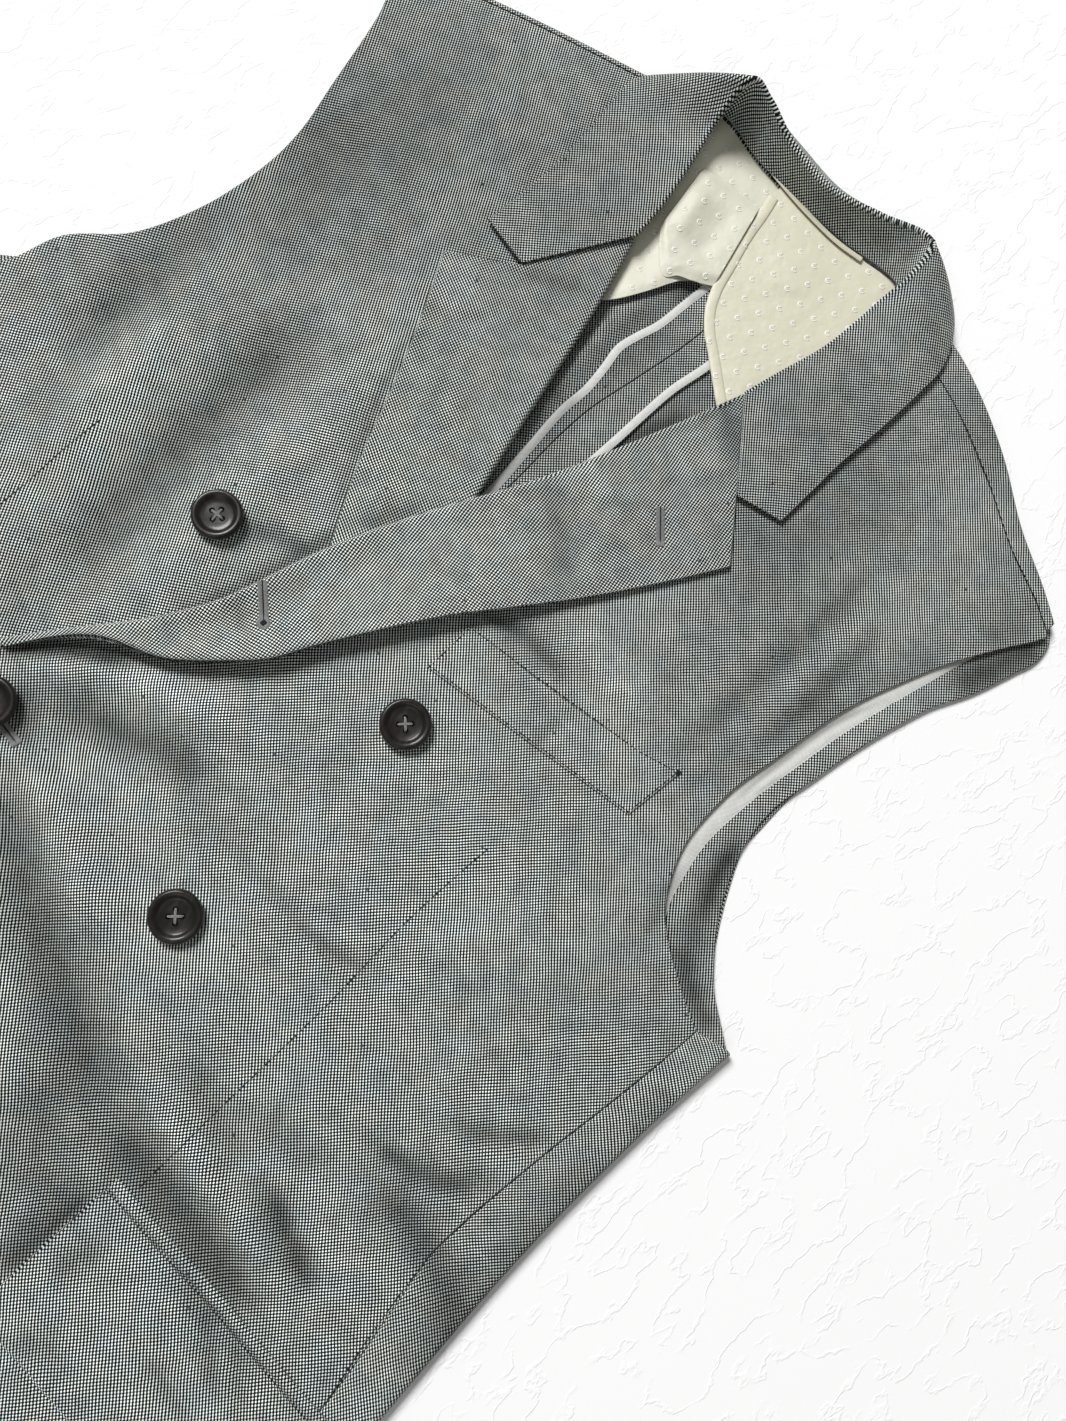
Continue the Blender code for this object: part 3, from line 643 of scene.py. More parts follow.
def shell_object(name: str, spots: Array, faces: Array, marks: Array) -> Piece:
    """An object from points of the plan, smooth shaded, with its faces pointing out.

    Args:
        name: the new object's name.
        spots: the points, in millimetres on the plan.
        faces: four-sided faces, as indexes of the points.
        marks: for each point, its place on the flat cloth and its painted shade.

    Returns:
        The object, linked to the scene.
    """
    corners = spots[faces[:, :3]]
    signed = np.einsum("ij,ij->i", corners[:, 0], np.cross(corners[:, 1], corners[:, 2])).sum()
    if signed < 0:
        faces = faces[:, ::-1]
    mesh = bpy.data.meshes.new(name)
    mesh.vertices.add(len(spots))
    mesh.vertices.foreach_set("co", PLAN.place(spots).astype(np.float32).ravel())
    mesh.loops.add(faces.size)
    mesh.loops.foreach_set("vertex_index", faces.astype(np.int32).ravel())
    mesh.polygons.add(len(faces))
    mesh.polygons.foreach_set("loop_start", np.arange(0, faces.size, 4, dtype=np.int32))
    mesh.polygons.foreach_set("loop_total", np.full(len(faces), 4, dtype=np.int32))
    mesh.update(calc_edges=True)
    mark_cloth(mesh, marks)
    mesh.shade_smooth()
    return link_object(name, mesh)


# ------------ finishes


class Slot(Enum):
    """The record's material slots."""

    WOOL = "wool"
    LINING = "lining"
    BINDING = "binding"
    HORN = "horn"


class Graph:
    """A material's nodes, with short ways to add and join them."""

    def __init__(self, name: str) -> None:
        """Starts a material with an empty Principled surface.

        Args:
            name: the material's name.
        """
        self.material = bpy.data.materials.new(name)
        self.material.use_nodes = True
        self.tree = self.material.node_tree
        self.surface = self.tree.nodes["Principled BSDF"]

    def feed(self, socket: Socket, value: Value) -> None:
        """Sets an input, or joins another node's output to it.

        Args:
            socket: the input.
            value: a number, numbers or another output.
        """
        if isinstance(value, Wire):
            self.tree.links.new(value.socket, socket)
        else:
            socket.default_value = value

    def fill(self, node: bpy.types.Node, **inputs: Value) -> None:
        """Sets a node's inputs, given by name with spaces as underlines."""
        for key, value in inputs.items():
            self.feed(node.inputs[key.replace("_", " ")], value)

    def add(self, kind: str, output: int | str = 0, **inputs: Value) -> Wire:
        """The output of a new node of a kind, with inputs given as for fill.

        Args:
            kind: the node's type, without its prefix.
            output: the output wanted.
            inputs: its inputs.

        Returns:
            The node's output.
        """
        node = self.tree.nodes.new("ShaderNode" + kind)
        self.fill(node, **inputs)
        return Wire(self, node.outputs[output])

    def noise(self, place: Wire, grain: float, detail: float = 2.0) -> Wire:
        """Even noise about 0.5, with patches about grain across in the place's units."""
        return self.add("TexNoise", Vector=place, Scale=1.0 / grain, Detail=detail)

    def waver(self, place: Wire, grain: float, detail: float, reach: float, middle: float = 0.5) -> Wire:
        """Noise about 0, which spreads half its reach either way of the middle."""
        return (self.noise(place, grain, detail) - middle) * reach

    def cell(self, place: Wire, width: float) -> tuple[Wire, Wire]:
        """Scattered spots.

        Args:
            place: where the spots are read.
            width: about how far apart they lie.

        Returns:
            The distance to the nearest spot, in widths, and a number of that spot's own.
        """
        distance = self.add("TexVoronoi", "Distance", Vector=place, Scale=1.0 / width)
        own = Wire(self, distance.socket.node.outputs["Color"])
        return distance, self.add("SeparateColor", Color=own)

    def bump(self, height: Wire, depth: float) -> None:
        """Raises the surface by a height of 0 to 1, up to a depth in millimetres."""
        self.set(Normal=self.add("Bump", Height=height, Distance=depth * MM, Strength=1.0))

    def set(self, **inputs: Value) -> None:
        """Sets the surface's own inputs, given as for fill."""
        self.fill(self.surface, **inputs)


@dataclass(frozen=True)
class Wire:
    """One output among a material's nodes, joined to others by plain arithmetic."""

    graph: Graph
    socket: Socket

    def math(self, operation: str, *values: Value) -> Wire:
        """The result of a Math node on this output and other values.

        Args:
            operation: the node's operation.
            values: its other inputs, in order.

        Returns:
            The node's output.
        """
        node = self.graph.tree.nodes.new("ShaderNodeMath")
        node.operation = operation
        for socket, value in zip(node.inputs, (self, *values)):
            self.graph.feed(socket, value)
        return Wire(self.graph, node.outputs[0])

    def __add__(self, other: Value) -> Wire:
        """This output plus a value."""
        return self.math("ADD", other)

    def __sub__(self, other: Value) -> Wire:
        """This output less a value."""
        return self.math("SUBTRACT", other)

    def __mul__(self, other: Value) -> Wire:
        """This output times a value."""
        return self.math("MULTIPLY", other)

    def __truediv__(self, other: Value) -> Wire:
        """This output over a value."""
        return self.math("DIVIDE", other)

    def step(self, low: float, high: float) -> Wire:
        """A soft step from 0 at low to 1 at high.

        Args:
            low: where it starts.
            high: where it is full.

        Returns:
            The step.
        """
        step = self.graph.add("MapRange", Value=self, From_Min=low, From_Max=high)
        step.socket.node.interpolation_type = "SMOOTHSTEP"
        return step

    def blend(self, first: Wire | Colour, second: Wire | Colour) -> Wire:
        """A colour between two others, with this output as the share.

        Args:
            first: the colour at 0, as three numbers or an output.
            second: the colour at 1.

        Returns:
            The mixed colour.
        """
        node = self.graph.tree.nodes.new("ShaderNodeMix")
        node.data_type = "RGBA"
        self.graph.feed(node.inputs[0], self)
        sockets = [socket for socket in node.inputs if socket.type == "RGBA"]
        for socket, colour in zip(sockets, (first, second)):
            self.graph.feed(socket, colour if isinstance(colour, Wire) else (*colour, 1.0))
        return Wire(self.graph, next(socket for socket in node.outputs if socket.type == "RGBA"))

    def scale(self, share: Value) -> Wire:
        """This colour made lighter by a share.

        Args:
            share: what it is multiplied by.

        Returns:
            The new colour.
        """
        node = self.graph.tree.nodes.new("ShaderNodeVectorMath")
        node.operation = "SCALE"
        self.graph.feed(node.inputs[0], self)
        self.graph.feed(node.inputs["Scale"], share)
        return Wire(self.graph, node.outputs[0])


Value = float | Sequence[float] | Wire


@dataclass(frozen=True)
class ClothPlace:
    """Where a point lies on the flat cloth, along weft and warp in millimetres, and its painted shade."""

    u: Wire
    v: Wire
    tone: Wire
    flat: Wire

    @classmethod
    def read(cls, graph: Graph, grain: float) -> ClothPlace:
        """Adds the nodes that read the mesh's marks.

        Args:
            graph: the material's nodes.
            grain: how far the cloth's weft is turned from the plan's X, in degrees.

        Returns:
            The place.
        """
        marks = graph.add("Attribute", "Vector")
        marks.socket.node.attribute_name = CLOTH_MARKS
        x = graph.add("SeparateXYZ", Vector=marks)
        y, tone = (Wire(graph, x.socket.node.outputs[k]) for k in (1, 2))
        cos, sin = math.cos(math.radians(grain)), math.sin(math.radians(grain))
        u, v = x * cos + y * sin, y * cos - x * sin
        return cls(u, v, tone, graph.add("CombineXYZ", X=u, Y=v))


class Finish:
    """The look of one kind of cloth, thread or horn."""

    slot: ClassVar[Slot] = Slot.WOOL
    turned: ClassVar[float] = 0.0

    def material(self, name: str, grain: float = 0.0) -> bpy.types.Material:
        """The finish as it lies on one piece.

        Args:
            name: the material's name.
            grain: how far its threads are turned from the plan's X, in degrees.

        Returns:
            The material.
        """
        graph = Graph(name)
        self.dress(graph, ClothPlace.read(graph, self.turned + grain))
        return graph.material

    def dress(self, graph: Graph, at: ClothPlace) -> None:
        """Joins the nodes that make the look.

        Args:
            graph: the material's nodes.
            at: where a point lies on the cloth.
        """
        raise NotImplementedError


@dataclass(frozen=True)
class BirdseyeWool(Finish):
    """Fine wool in a birdseye weave: ivory spots on slate, two threads to a spot each way."""

    spot: Colour = (0.885, 0.915, 0.845)
    cool_spot: Colour = (0.82, 0.89, 0.86)
    ground: Colour = (0.0045, 0.0075, 0.012)
    fleck_colour: Colour = (0.02, 0.024, 0.032)
    warp_gap: float = 0.744
    weft_gap: float = 0.818
    spot_start: float = 0.04
    spot_full: float = 0.42
    lean_middle: float = 0.62

    def dress(self, graph: Graph, at: ClothPlace) -> None:
        """Joins the weave, its flecks, its uneven yarn, its clouded tone and the painted shade and light from
        the marks.

        Args:
            graph: the material's nodes.
            at: where a point lies on the cloth.
        """
        flat = at.flat
        u = at.u + graph.waver(flat, 34.0, 1.0, 2.4)
        v = at.v + graph.waver(flat, 9.0, 1.0, 0.7)
        warp, weft = u * (math.pi / self.warp_gap), v * (math.pi / self.weft_gap)
        lean = graph.waver(flat, 70.0, 1.0, 1.3, self.lean_middle)
        weave = warp.math("COSINE") * weft.math("COSINE")
        weave += lean * (warp.math("SINE") * weft.math("SINE"))
        slubs = self.slub(graph, u, v, self.warp_gap, 14.0) + self.slub(graph, v, u, self.weft_gap, 11.0)
        tint = graph.noise(flat, 16.0, 3.0).step(0.40, 0.62)
        spots = (weave + slubs).step(self.spot_start, self.spot_full)
        cloth = spots.blend(self.ground, tint.blend(self.spot, self.cool_spot))
        far, own = graph.cell(flat, 10.0)
        fleck = far.step(0.085, 0.05) * own.step(0.70, 0.74)
        cloth = (fleck * 0.8).blend(cloth, self.fleck_colour)
        cloud = graph.waver(flat, 45.0, 3.0, 0.45) + graph.waver(flat, 7.0, 2.5, 0.75)
        graph.set(Base_Color=cloth.scale(at.tone * (cloud + 1.0)), Roughness=0.88)
        graph.set(Sheen_Weight=0.12, Sheen_Roughness=0.4, Specular_IOR_Level=0.15)
        graph.bump(weave * 0.5 + graph.noise(flat, 0.35), 0.11)

    @staticmethod
    def slub(graph: Graph, across: Wire, along: Wire, gap: float, length: float) -> Wire:
        """Uneven thickness of the threads that run one way.

        Args:
            graph: the material's nodes.
            across: place across the threads.
            along: place along them.
            gap: how far apart they lie.
            length: about how long a thick or thin stretch is.

        Returns:
            A small number, above 0 where the yarn is pale and thick.
        """
        thread = (across / gap).math("FLOOR") * 7.31
        return graph.waver(graph.add("CombineXYZ", X=thread, Y=along / length), 1.0, 1.0, 0.16)


@dataclass(frozen=True)
class SpottedSatin(Finish):
    """Cream lining satin with small woven curls set in offset rows."""

    slot: ClassVar[Slot] = Slot.LINING
    ground: Colour = (0.69, 0.675, 0.555)
    motif: Colour = (0.90, 0.89, 0.82)
    spacing: float = 8.6
    curl_radius: float = 0.95
    curl_width: float = 0.62
    thread_gap: float = 0.32

    def dress(self, graph: Graph, at: ClothPlace) -> None:
        """Joins the curls, the satin's floats, its soft rumples and the painted shade from the marks.

        Args:
            graph: the material's nodes.
            at: where a point lies on the cloth.
        """
        row = (at.v / self.spacing).math("FLOOR")
        along = at.u + row.math("ABSOLUTE").math("MODULO", 2.0) * (self.spacing / 2)
        column = (along / self.spacing).math("FLOOR")
        x = along - (column + 0.5) * self.spacing
        y = at.v - (row + 0.5) * self.spacing
        radius = (x * x + y * y).math("SQRT")
        opening = (y.math("ARCTAN2", x) - 0.8).math("ABSOLUTE").step(0.5, 0.9)
        curl = (radius - self.curl_radius).math("ABSOLUTE").step(self.curl_width, 0.1) * opening
        motif = curl.math("MAXIMUM", radius.step(0.5, 0.2))
        cloud = graph.noise(at.flat, 22.0) * 0.12 + 0.94
        satin = (motif * 0.75).blend(self.ground, self.motif)
        graph.set(Base_Color=satin.scale(cloud * at.tone), Roughness=0.42, Specular_IOR_Level=0.4)
        graph.set(Sheen_Weight=0.15, Subsurface_Weight=0.08, Subsurface_Radius=(0.002, 0.0018, 0.0014))
        floats = ((at.u + at.v) * (2 * math.pi / self.thread_gap)).math("SINE")
        graph.bump(floats * 0.04 + motif + graph.noise(at.flat, 7.0) * 2.2, 0.22)


@dataclass(frozen=True)
class PlainTape(Finish):
    """Cotton tape or thread: one colour, with a fine rib."""

    turned: ClassVar[float] = 45.0
    colour: Colour
    slot: Slot = Slot.WOOL
    rib: float = 0.5
    shadow: float = 0.82

    def dress(self, graph: Graph, at: ClothPlace) -> None:
        """Joins the ribs, whose hollows are painted darker as shade, a faint cloud and the painted shade from
        the marks.

        Args:
            graph: the material's nodes.
            at: where a point lies on the tape.
        """
        ribs, cross = ((place * (2 * math.pi / self.rib)).math("SINE") for place in (at.u, at.v))
        cloud = graph.noise(at.flat, 4.0, 3.0) * 0.24 + 0.88
        base = ribs.step(-1.6, 0.6).blend(tuple(c * self.shadow for c in self.colour), self.colour)
        graph.set(Base_Color=base.scale(cloud * at.tone), Roughness=0.75)
        graph.set(Specular_IOR_Level=0.25, Sheen_Weight=0.1)
        graph.bump((ribs + cross) * 0.5, 0.08)


@dataclass(frozen=True)
class PolishedHorn(Finish):
    """Near-black brown horn, turned and polished, with faint streaks and turning lines."""

    slot: ClassVar[Slot] = Slot.HORN
    turned: ClassVar[float] = 20.0
    dark: Colour = (0.010, 0.0090, 0.0075)
    streak: Colour = (0.024, 0.020, 0.0165)
    line_gap: float = 0.32

    def dress(self, graph: Graph, at: ClothPlace) -> None:
        """Joins the streaks, the turning lines and the wear.

        Args:
            graph: the material's nodes.
            at: where a point lies about the button's axis.
        """
        stretched = graph.add("CombineXYZ", X=at.u, Y=at.v * 0.22)
        streaks = graph.noise(stretched, 2.4, 3.0).step(0.42, 0.72)
        radius = (at.u * at.u + at.v * at.v).math("SQRT")
        turning = (radius * (2 * math.pi / self.line_gap)).math("SINE")
        wear = graph.noise(at.flat, 3.2, 3.0)
        graph.set(Base_Color=streaks.blend(self.dark, self.streak), Roughness=wear * 0.22 + 0.22)
        graph.set(Specular_IOR_Level=0.28, Coat_Weight=0.18, Coat_Roughness=0.14)
        graph.bump(turning * 0.5 + wear, 0.012)


@dataclass(frozen=True)
class PaleBoard:
    """The pale, lightly plastered board that the coat lies on."""

    colour: Colour = (0.95, 0.95, 0.95)

    def material(self, name: str) -> bpy.types.Material:
        """The board.

        Args:
            name: the material's name.

        Returns:
            The material.
        """
        graph = Graph(name)
        place = graph.add("Mapping", Vector=graph.add("TexCoord", "Object"), Scale=(1.0, 0.5, 1.0))
        cracks = (graph.noise(place, 0.014, 4.0) - 0.5).math("ABSOLUTE").step(0.026, 0.0)
        broken = graph.noise(place, 0.010, 1.0).step(0.34, 0.54)
        graph.set(Base_Color=(*self.colour, 1.0), Roughness=0.9, Specular_IOR_Level=0.1)
        graph.bump(cracks * broken, 0.13)
        return graph.material


WOOL = BirdseyeWool()
SATIN = SpottedSatin()
WARM_SATIN = SpottedSatin(ground=(0.69, 0.665, 0.52))
TAPE = PlainTape((0.79, 0.79, 0.76), Slot.BINDING)
TAPE_THICKNESS = 1.1
LOOP_TAPE = PlainTape((0.78, 0.74, 0.56), Slot.LINING, rib=0.4)
DARK_THREAD = PlainTape((0.012, 0.015, 0.022), rib=0.35)
GREY_THREAD = PlainTape((0.48, 0.485, 0.48), rib=0.25)
THREAD_RISE = 0.02
HORN = PolishedHorn()


def attach(piece: Piece, finish: Finish, replaced: Sequence[str] = (), grain: float = 0.0) -> None:
    """Dresses a finished piece and fixes it to the coat's body.

    Args:
        piece: the finished piece.
        finish: its look, which has the record's slot.
        replaced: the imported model's nodes that it stands for.
        grain: how far its weave is turned from the plan's X, in degrees.
    """
    piece.data.materials.clear()
    piece.data.materials.append(finish.material(f"{finish.slot.value}_{piece.name}", grain))
    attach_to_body(piece, BODY)
    if replaced:
        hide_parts(*replaced)
    log.info("%s: %d faces", piece.name, len(piece.data.polygons))


def lay_trim(name: str, sheet: Sheet, finish: Finish, thickness: float, grain: float = 0.0) -> Piece:
    """Makes and dresses a narrow strip that is sewn on to a larger piece.

    Args:
        name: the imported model's node that the strip stands for.
        sheet: its shape.
        finish: its look.
        thickness: its thickness in millimetres.
        grain: how far its weave is turned from the plan's X, in degrees.

    Returns:
        The strip.
    """
    strip = sheet.to_object(f"{name}_strip", thickness)
    attach(strip, finish, [name], grain)
    return strip


def lay_cloth(
    name: str, sheet: Sheet, finish: Finish, grain: float, rests_on: Sequence[str],
    trims: Sequence[Piece] = (), thickness: float = LAYERS.cloth,
) -> Piece:
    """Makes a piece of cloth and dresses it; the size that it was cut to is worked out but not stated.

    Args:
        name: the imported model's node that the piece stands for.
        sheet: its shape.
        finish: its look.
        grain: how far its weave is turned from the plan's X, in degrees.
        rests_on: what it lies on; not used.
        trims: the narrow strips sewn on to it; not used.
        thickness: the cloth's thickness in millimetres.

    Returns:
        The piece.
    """
    piece = sheet.to_object(f"{name}_cloth", thickness)
    attach(piece, finish, [name], grain)
    flat, area = sheet.size()
    list(rests_on)
    list(trims)
    return piece


# ------------ the coat's outlines


# Painted shade: the upper part of the coat is darkened, standing in for weaker light there.
UPPER_SHADE, = strokes((90, 0, -0.27, -190, 130, -70, 200, 70, 205, 200, 160))


class Side(Enum):
    """The wearer's left or right, with the sign of X there."""

    LEFT = 1
    RIGHT = -1

    @property
    def word(self) -> str:
        """The side's name as the pieces' names have it."""
        return self.name.lower()


@dataclass
class SidedPiece:
    """A piece of which the coat has one on each side."""

    kind: ClassVar[str]
    side: Side

    @property
    def name(self) -> str:
        """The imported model's name for this piece."""
        return f"{self.kind}_{self.side.word}"


@dataclass(frozen=True)
class TopEdge:
    """The folded top of the coat, from armhole to armhole, and the shoulder seams before it."""

    outline: tuple[XY, ...] = (
        (-200, 216), (-153, 240), (-121, 254), (-89, 267), (-70, 275), (-55, 280),
        (-34, 278), (-13, 277), (7, 277), (31, 280), (53, 285), (72, 287),
        (90, 285), (113, 277.5), (139, 265), (162, 250.5), (191, 236.5), (211, 225),
    )
    seam_shift: tuple[XY, ...] = (
        (-200, 2.5), (-70, 2.5), (70, 16), (109, 13.5), (133, 12), (160, 8.5), (175, 7.5), (192, 5.5),
        (212, 4),
    )
    neck_half_width: float = 58.0
    shoulder_start: float = 78.0

    @staticmethod
    def along(table: Sequence[XY], x: Array) -> Array:
        """A table's second column, on a smooth curve over its first.

        Args:
            table: rows of two numbers.
            x: where values are wanted.

        Returns:
            The values.
        """
        rows = np.array(table, dtype=float)
        at = np.clip(np.ravel(x), rows[0, 0], rows[-1, 0])
        return soft_run(rows[:, 1], rows[:, 0], at).reshape(np.shape(x))

    def y(self, x: Array) -> Array:
        """The folded edge's place along the coat."""
        return self.along(self.outline, x)

    def seam_y(self, x: Array) -> Array:
        """The shoulder seam's place along the coat."""
        shift = np.interp(x, *zip(*self.seam_shift))
        return self.y(x) - shift - LAYERS.fold_inset / 2

    def wrap_share(self, x: Array) -> Array:
        """0 at the neck, where the back ends at the collar, to 1 where it folds forward."""
        return ease((np.abs(x) - self.neck_half_width) / (self.shoulder_start - self.neck_half_width))


TOP_EDGE = TopEdge()


@dataclass
class FrontPanel(SidedPiece):
    """A front, from its inner edge or roll line to the side seam and armhole."""

    kind: ClassVar[str] = "front"
    rows: Rows
    surface: Surface
    roll_rows: tuple[int, int]
    underarm_row: int
    grain: float
    roll_trim: float = 2.8
    crowding: float = 1.15
    columns: int = 112
    spacing: float = 2.6
    plain_spacing: float = 7.0
    plain_below: float = -250.0
    seam_gap: float = 0.08
    shoulder_gap: float = 0.15

    def grid(self) -> Array:
        """The middle of the cloth, rows from hem to shoulder.

        Returns:
            A grid of points.
        """
        table = np.array(self.rows, dtype=float)
        ends = table[:, :4].reshape(-1, 2, 2)
        first, last = self.roll_rows
        ends[first:last, 0] = offset_line(ends[first:last, 0], -self.side.value * self.roll_trim)
        ends[:, 1, 0] -= self.side.value * self.seam_gap
        knots = chord_knots(ends)
        steps = np.where(table[1:, 1] <= self.plain_below, self.plain_spacing, self.spacing)
        at = sample_knots(knots, steps)
        inner = soft_rows(ends[:, 0], knots, at)[:, None]
        outer = soft_rows(ends[:, 1], knots, at, [self.underarm_row])[:, None]
        shoulder = np.clip(soft_rows(table[:, 4], knots, at), 0, 1)[:, None]
        share = crowded(self.columns, self.crowding)[None, :, None]
        flat = inner + share * (outer - inner)
        seam = TOP_EDGE.seam_y(flat[-1, :, 0]) - self.shoulder_gap - flat[-1, :, 1]
        flat[..., 1] += shoulder * seam[None]
        return self.surface.on(flat)

    def build(self) -> Piece:
        """Makes and dresses the front.

        Returns:
            The front.
        """
        sheet = Sheet.laid(self.grid(), (*self.surface.creases, UPPER_SHADE))
        under = {Side.LEFT: ["back_left", "front_right"], Side.RIGHT: ["back_right", "lining_right"]}
        return lay_cloth(self.name, sheet, WOOL, self.grain, under[self.side])


@dataclass
class SidePanel(SidedPiece):
    """A side panel, which runs from the front round the folded side to the back."""

    kind: ClassVar[str] = "side_panel"
    rows: Rows
    surface: Surface
    grain: float
    spacing: float = 4.0
    front_columns: int = 8
    fold_steps: int = 12
    back_columns: int = 10
    seam_gap: float = 0.08

    def grid(self) -> Array:
        """The middle of the cloth, rows from hem to underarm.

        Returns:
            A grid of points.
        """
        table = np.array(self.rows, dtype=float)
        table[:, [0, 2, 4]] = np.abs(table[:, [0, 2, 4]])
        knots = chord_knots(table[:, 2:4])
        rows = soft_rows(table, knots, sample_knots(knots, self.spacing))
        seam_x, seam_y, fold_x, fold_y, back_x, back_y, bow = rows.T
        turn_x = fold_x - LAYERS.fold_inset
        radius = LAYERS.fold_radius
        columns = []
        for share in crowded(self.front_columns):
            x = seam_x + self.seam_gap + share * (turn_x - seam_x - self.seam_gap)
            y = seam_y + share * (fold_y - seam_y)
            rise = self.surface.height(self.side.value * x, y) - self.surface.level
            columns.append((x, y, LAYERS.front + rise * ease(1 - share)))
        for angle in np.linspace(math.pi, 0, self.fold_steps + 1)[1:]:
            height = LAYERS.back + (1 - math.cos(angle)) * radius
            columns.append((turn_x + math.sin(angle) * radius, fold_y, np.full(len(rows), height)))
        for share in crowded(self.back_columns)[1:]:
            x = turn_x + share * (back_x + self.seam_gap - turn_x)
            y = fold_y + share * (back_y - fold_y) + bow * arch(share)
            columns.append((x, y, np.full(len(rows), LAYERS.back)))
        grid = np.stack([np.stack(column, axis=-1) for column in columns], axis=1)
        grid[..., 0] *= self.side.value
        return grid

    def build(self) -> Piece:
        """Makes and dresses the panel.

        Returns:
            The panel.
        """
        sheet = Sheet.rolled(self.grid(), self.surface.creases)
        rests = [f"front_{self.side.word}", f"back_{self.side.word}"]
        return lay_cloth(self.name, sheet, WOOL, self.grain, rests)


@dataclass
class BackHalf(SidedPiece):
    """Half of the back: flat, then folded forward over the shoulder to its seam."""

    kind: ClassVar[str] = "back"
    rows: Rows
    creases: Sequence[Stroke]
    shades: Sequence[Stroke]
    grain: float
    spacing: float = 3.0
    plain_spacing: float = 10.0
    plain_below: float = 40.0
    columns: int = 70
    fold_steps: int = 10
    seam_steps: int = 6
    centre_x: float = 7.0
    neck_seam_level: float = 4.4
    neck_rise: float = 3.4
    least_wrap: float = 0.8
    seam_gap: float = 0.08

    def grid(self) -> Array:
        """The middle of the cloth, rows from hem to neck and shoulder seam.

        Returns:
            A grid of points.
        """
        sign = self.side.value
        table = np.array(self.rows, dtype=float)
        knots = chord_knots(table[:, [1, 2]] + table[:, [0, 0]] * (0, 0.3))
        steps = np.where(table[1:, 0] <= self.plain_below, self.plain_spacing, self.spacing)
        rows = soft_rows(table, knots, sample_knots(knots, steps))
        inner_y, outer_x, outer_y, shoulder = rows.T[:, :, None]
        share = crowded(self.columns)[None]
        inner_x = self.centre_x + sign * self.seam_gap / 2
        x = inner_x + share * (outer_x - sign * self.seam_gap - inner_x)
        y = inner_y + share * (outer_y - inner_y)
        top_x = inner_x + share * (outer_x[-1] - inner_x)
        lift = TOP_EDGE.y(top_x) - LAYERS.fold_inset - y[-1:]
        y = y + np.clip(shoulder, 0, 1) * lift
        z = LAYERS.back + np.maximum(Surface(0.0, tuple(self.creases)).height(x, y), 0.0)
        flat = np.dstack([x, y, z])
        return np.concatenate([flat, self.turned_rows(flat[-1])])

    def turned_rows(self, top: Array) -> Array:
        """The rows that carry the cloth over the shoulder, or up to the neck seam.

        Args:
            top: the last flat row.

        Returns:
            The turned rows, ending at the seam.
        """
        x, y, z = top.T
        wrap = TOP_EDGE.wrap_share(x)
        rows = []
        for rise in crowded(self.fold_steps)[1:]:
            angle = rise * math.pi
            folded_y = y + math.sin(angle) * LAYERS.fold_radius
            folded_z = z + (1 - math.cos(angle)) * LAYERS.fold_radius
            neck_y = y + LAYERS.fold_inset * math.sin(angle / 2)
            neck_z = z + self.neck_rise * rise * rise
            rows.append((x, neck_y + wrap * (folded_y - neck_y), neck_z + wrap * (folded_z - neck_z)))
        last_x, last_y, _ = rows[-1]
        seam_y = last_y + wrap * np.minimum(TOP_EDGE.seam_y(last_x) - last_y, -self.least_wrap)
        seam_z = self.neck_seam_level + wrap * (LAYERS.front - self.neck_seam_level)
        for share in crowded(self.seam_steps)[1:]:
            start_z = rows[self.fold_steps - 1][2]
            rows.append((last_x, last_y + share * (seam_y - last_y), start_z + share * (seam_z - start_z)))
        return np.array(rows).transpose(0, 2, 1)

    def build(self, trims: Sequence[Piece] = ()) -> Piece:
        """Makes and dresses the half.

        Args:
            trims: the centre back allowance and its binding on this side.

        Returns:
            The half.
        """
        sheet = Sheet.laid(self.grid(), (*self.shades, UPPER_SHADE))
        rests = [f"front_{self.side.word}"]
        return lay_cloth(self.name, sheet, WOOL, self.grain, rests, trims)


# ------------ lapels and collar


def notched(start: Array, notch: XY, tip: Array, share: Array, at: float = 0.6) -> Array:
    """Points on the line from a start to the notch and on to the tip.

    Args:
        start: where the line leaves the roll.
        notch: the corner.
        tip: the line's end.
        share: shares of the way along.
        at: the share at which the corner lies.

    Returns:
        The points.
    """
    corner = np.array(notch, dtype=float)
    near = start + (corner - start) * (share / at)[:, None]
    far = corner + (tip - corner) * ((share - at) / (1 - at))[:, None]
    return np.where((share <= at)[:, None], near, far)


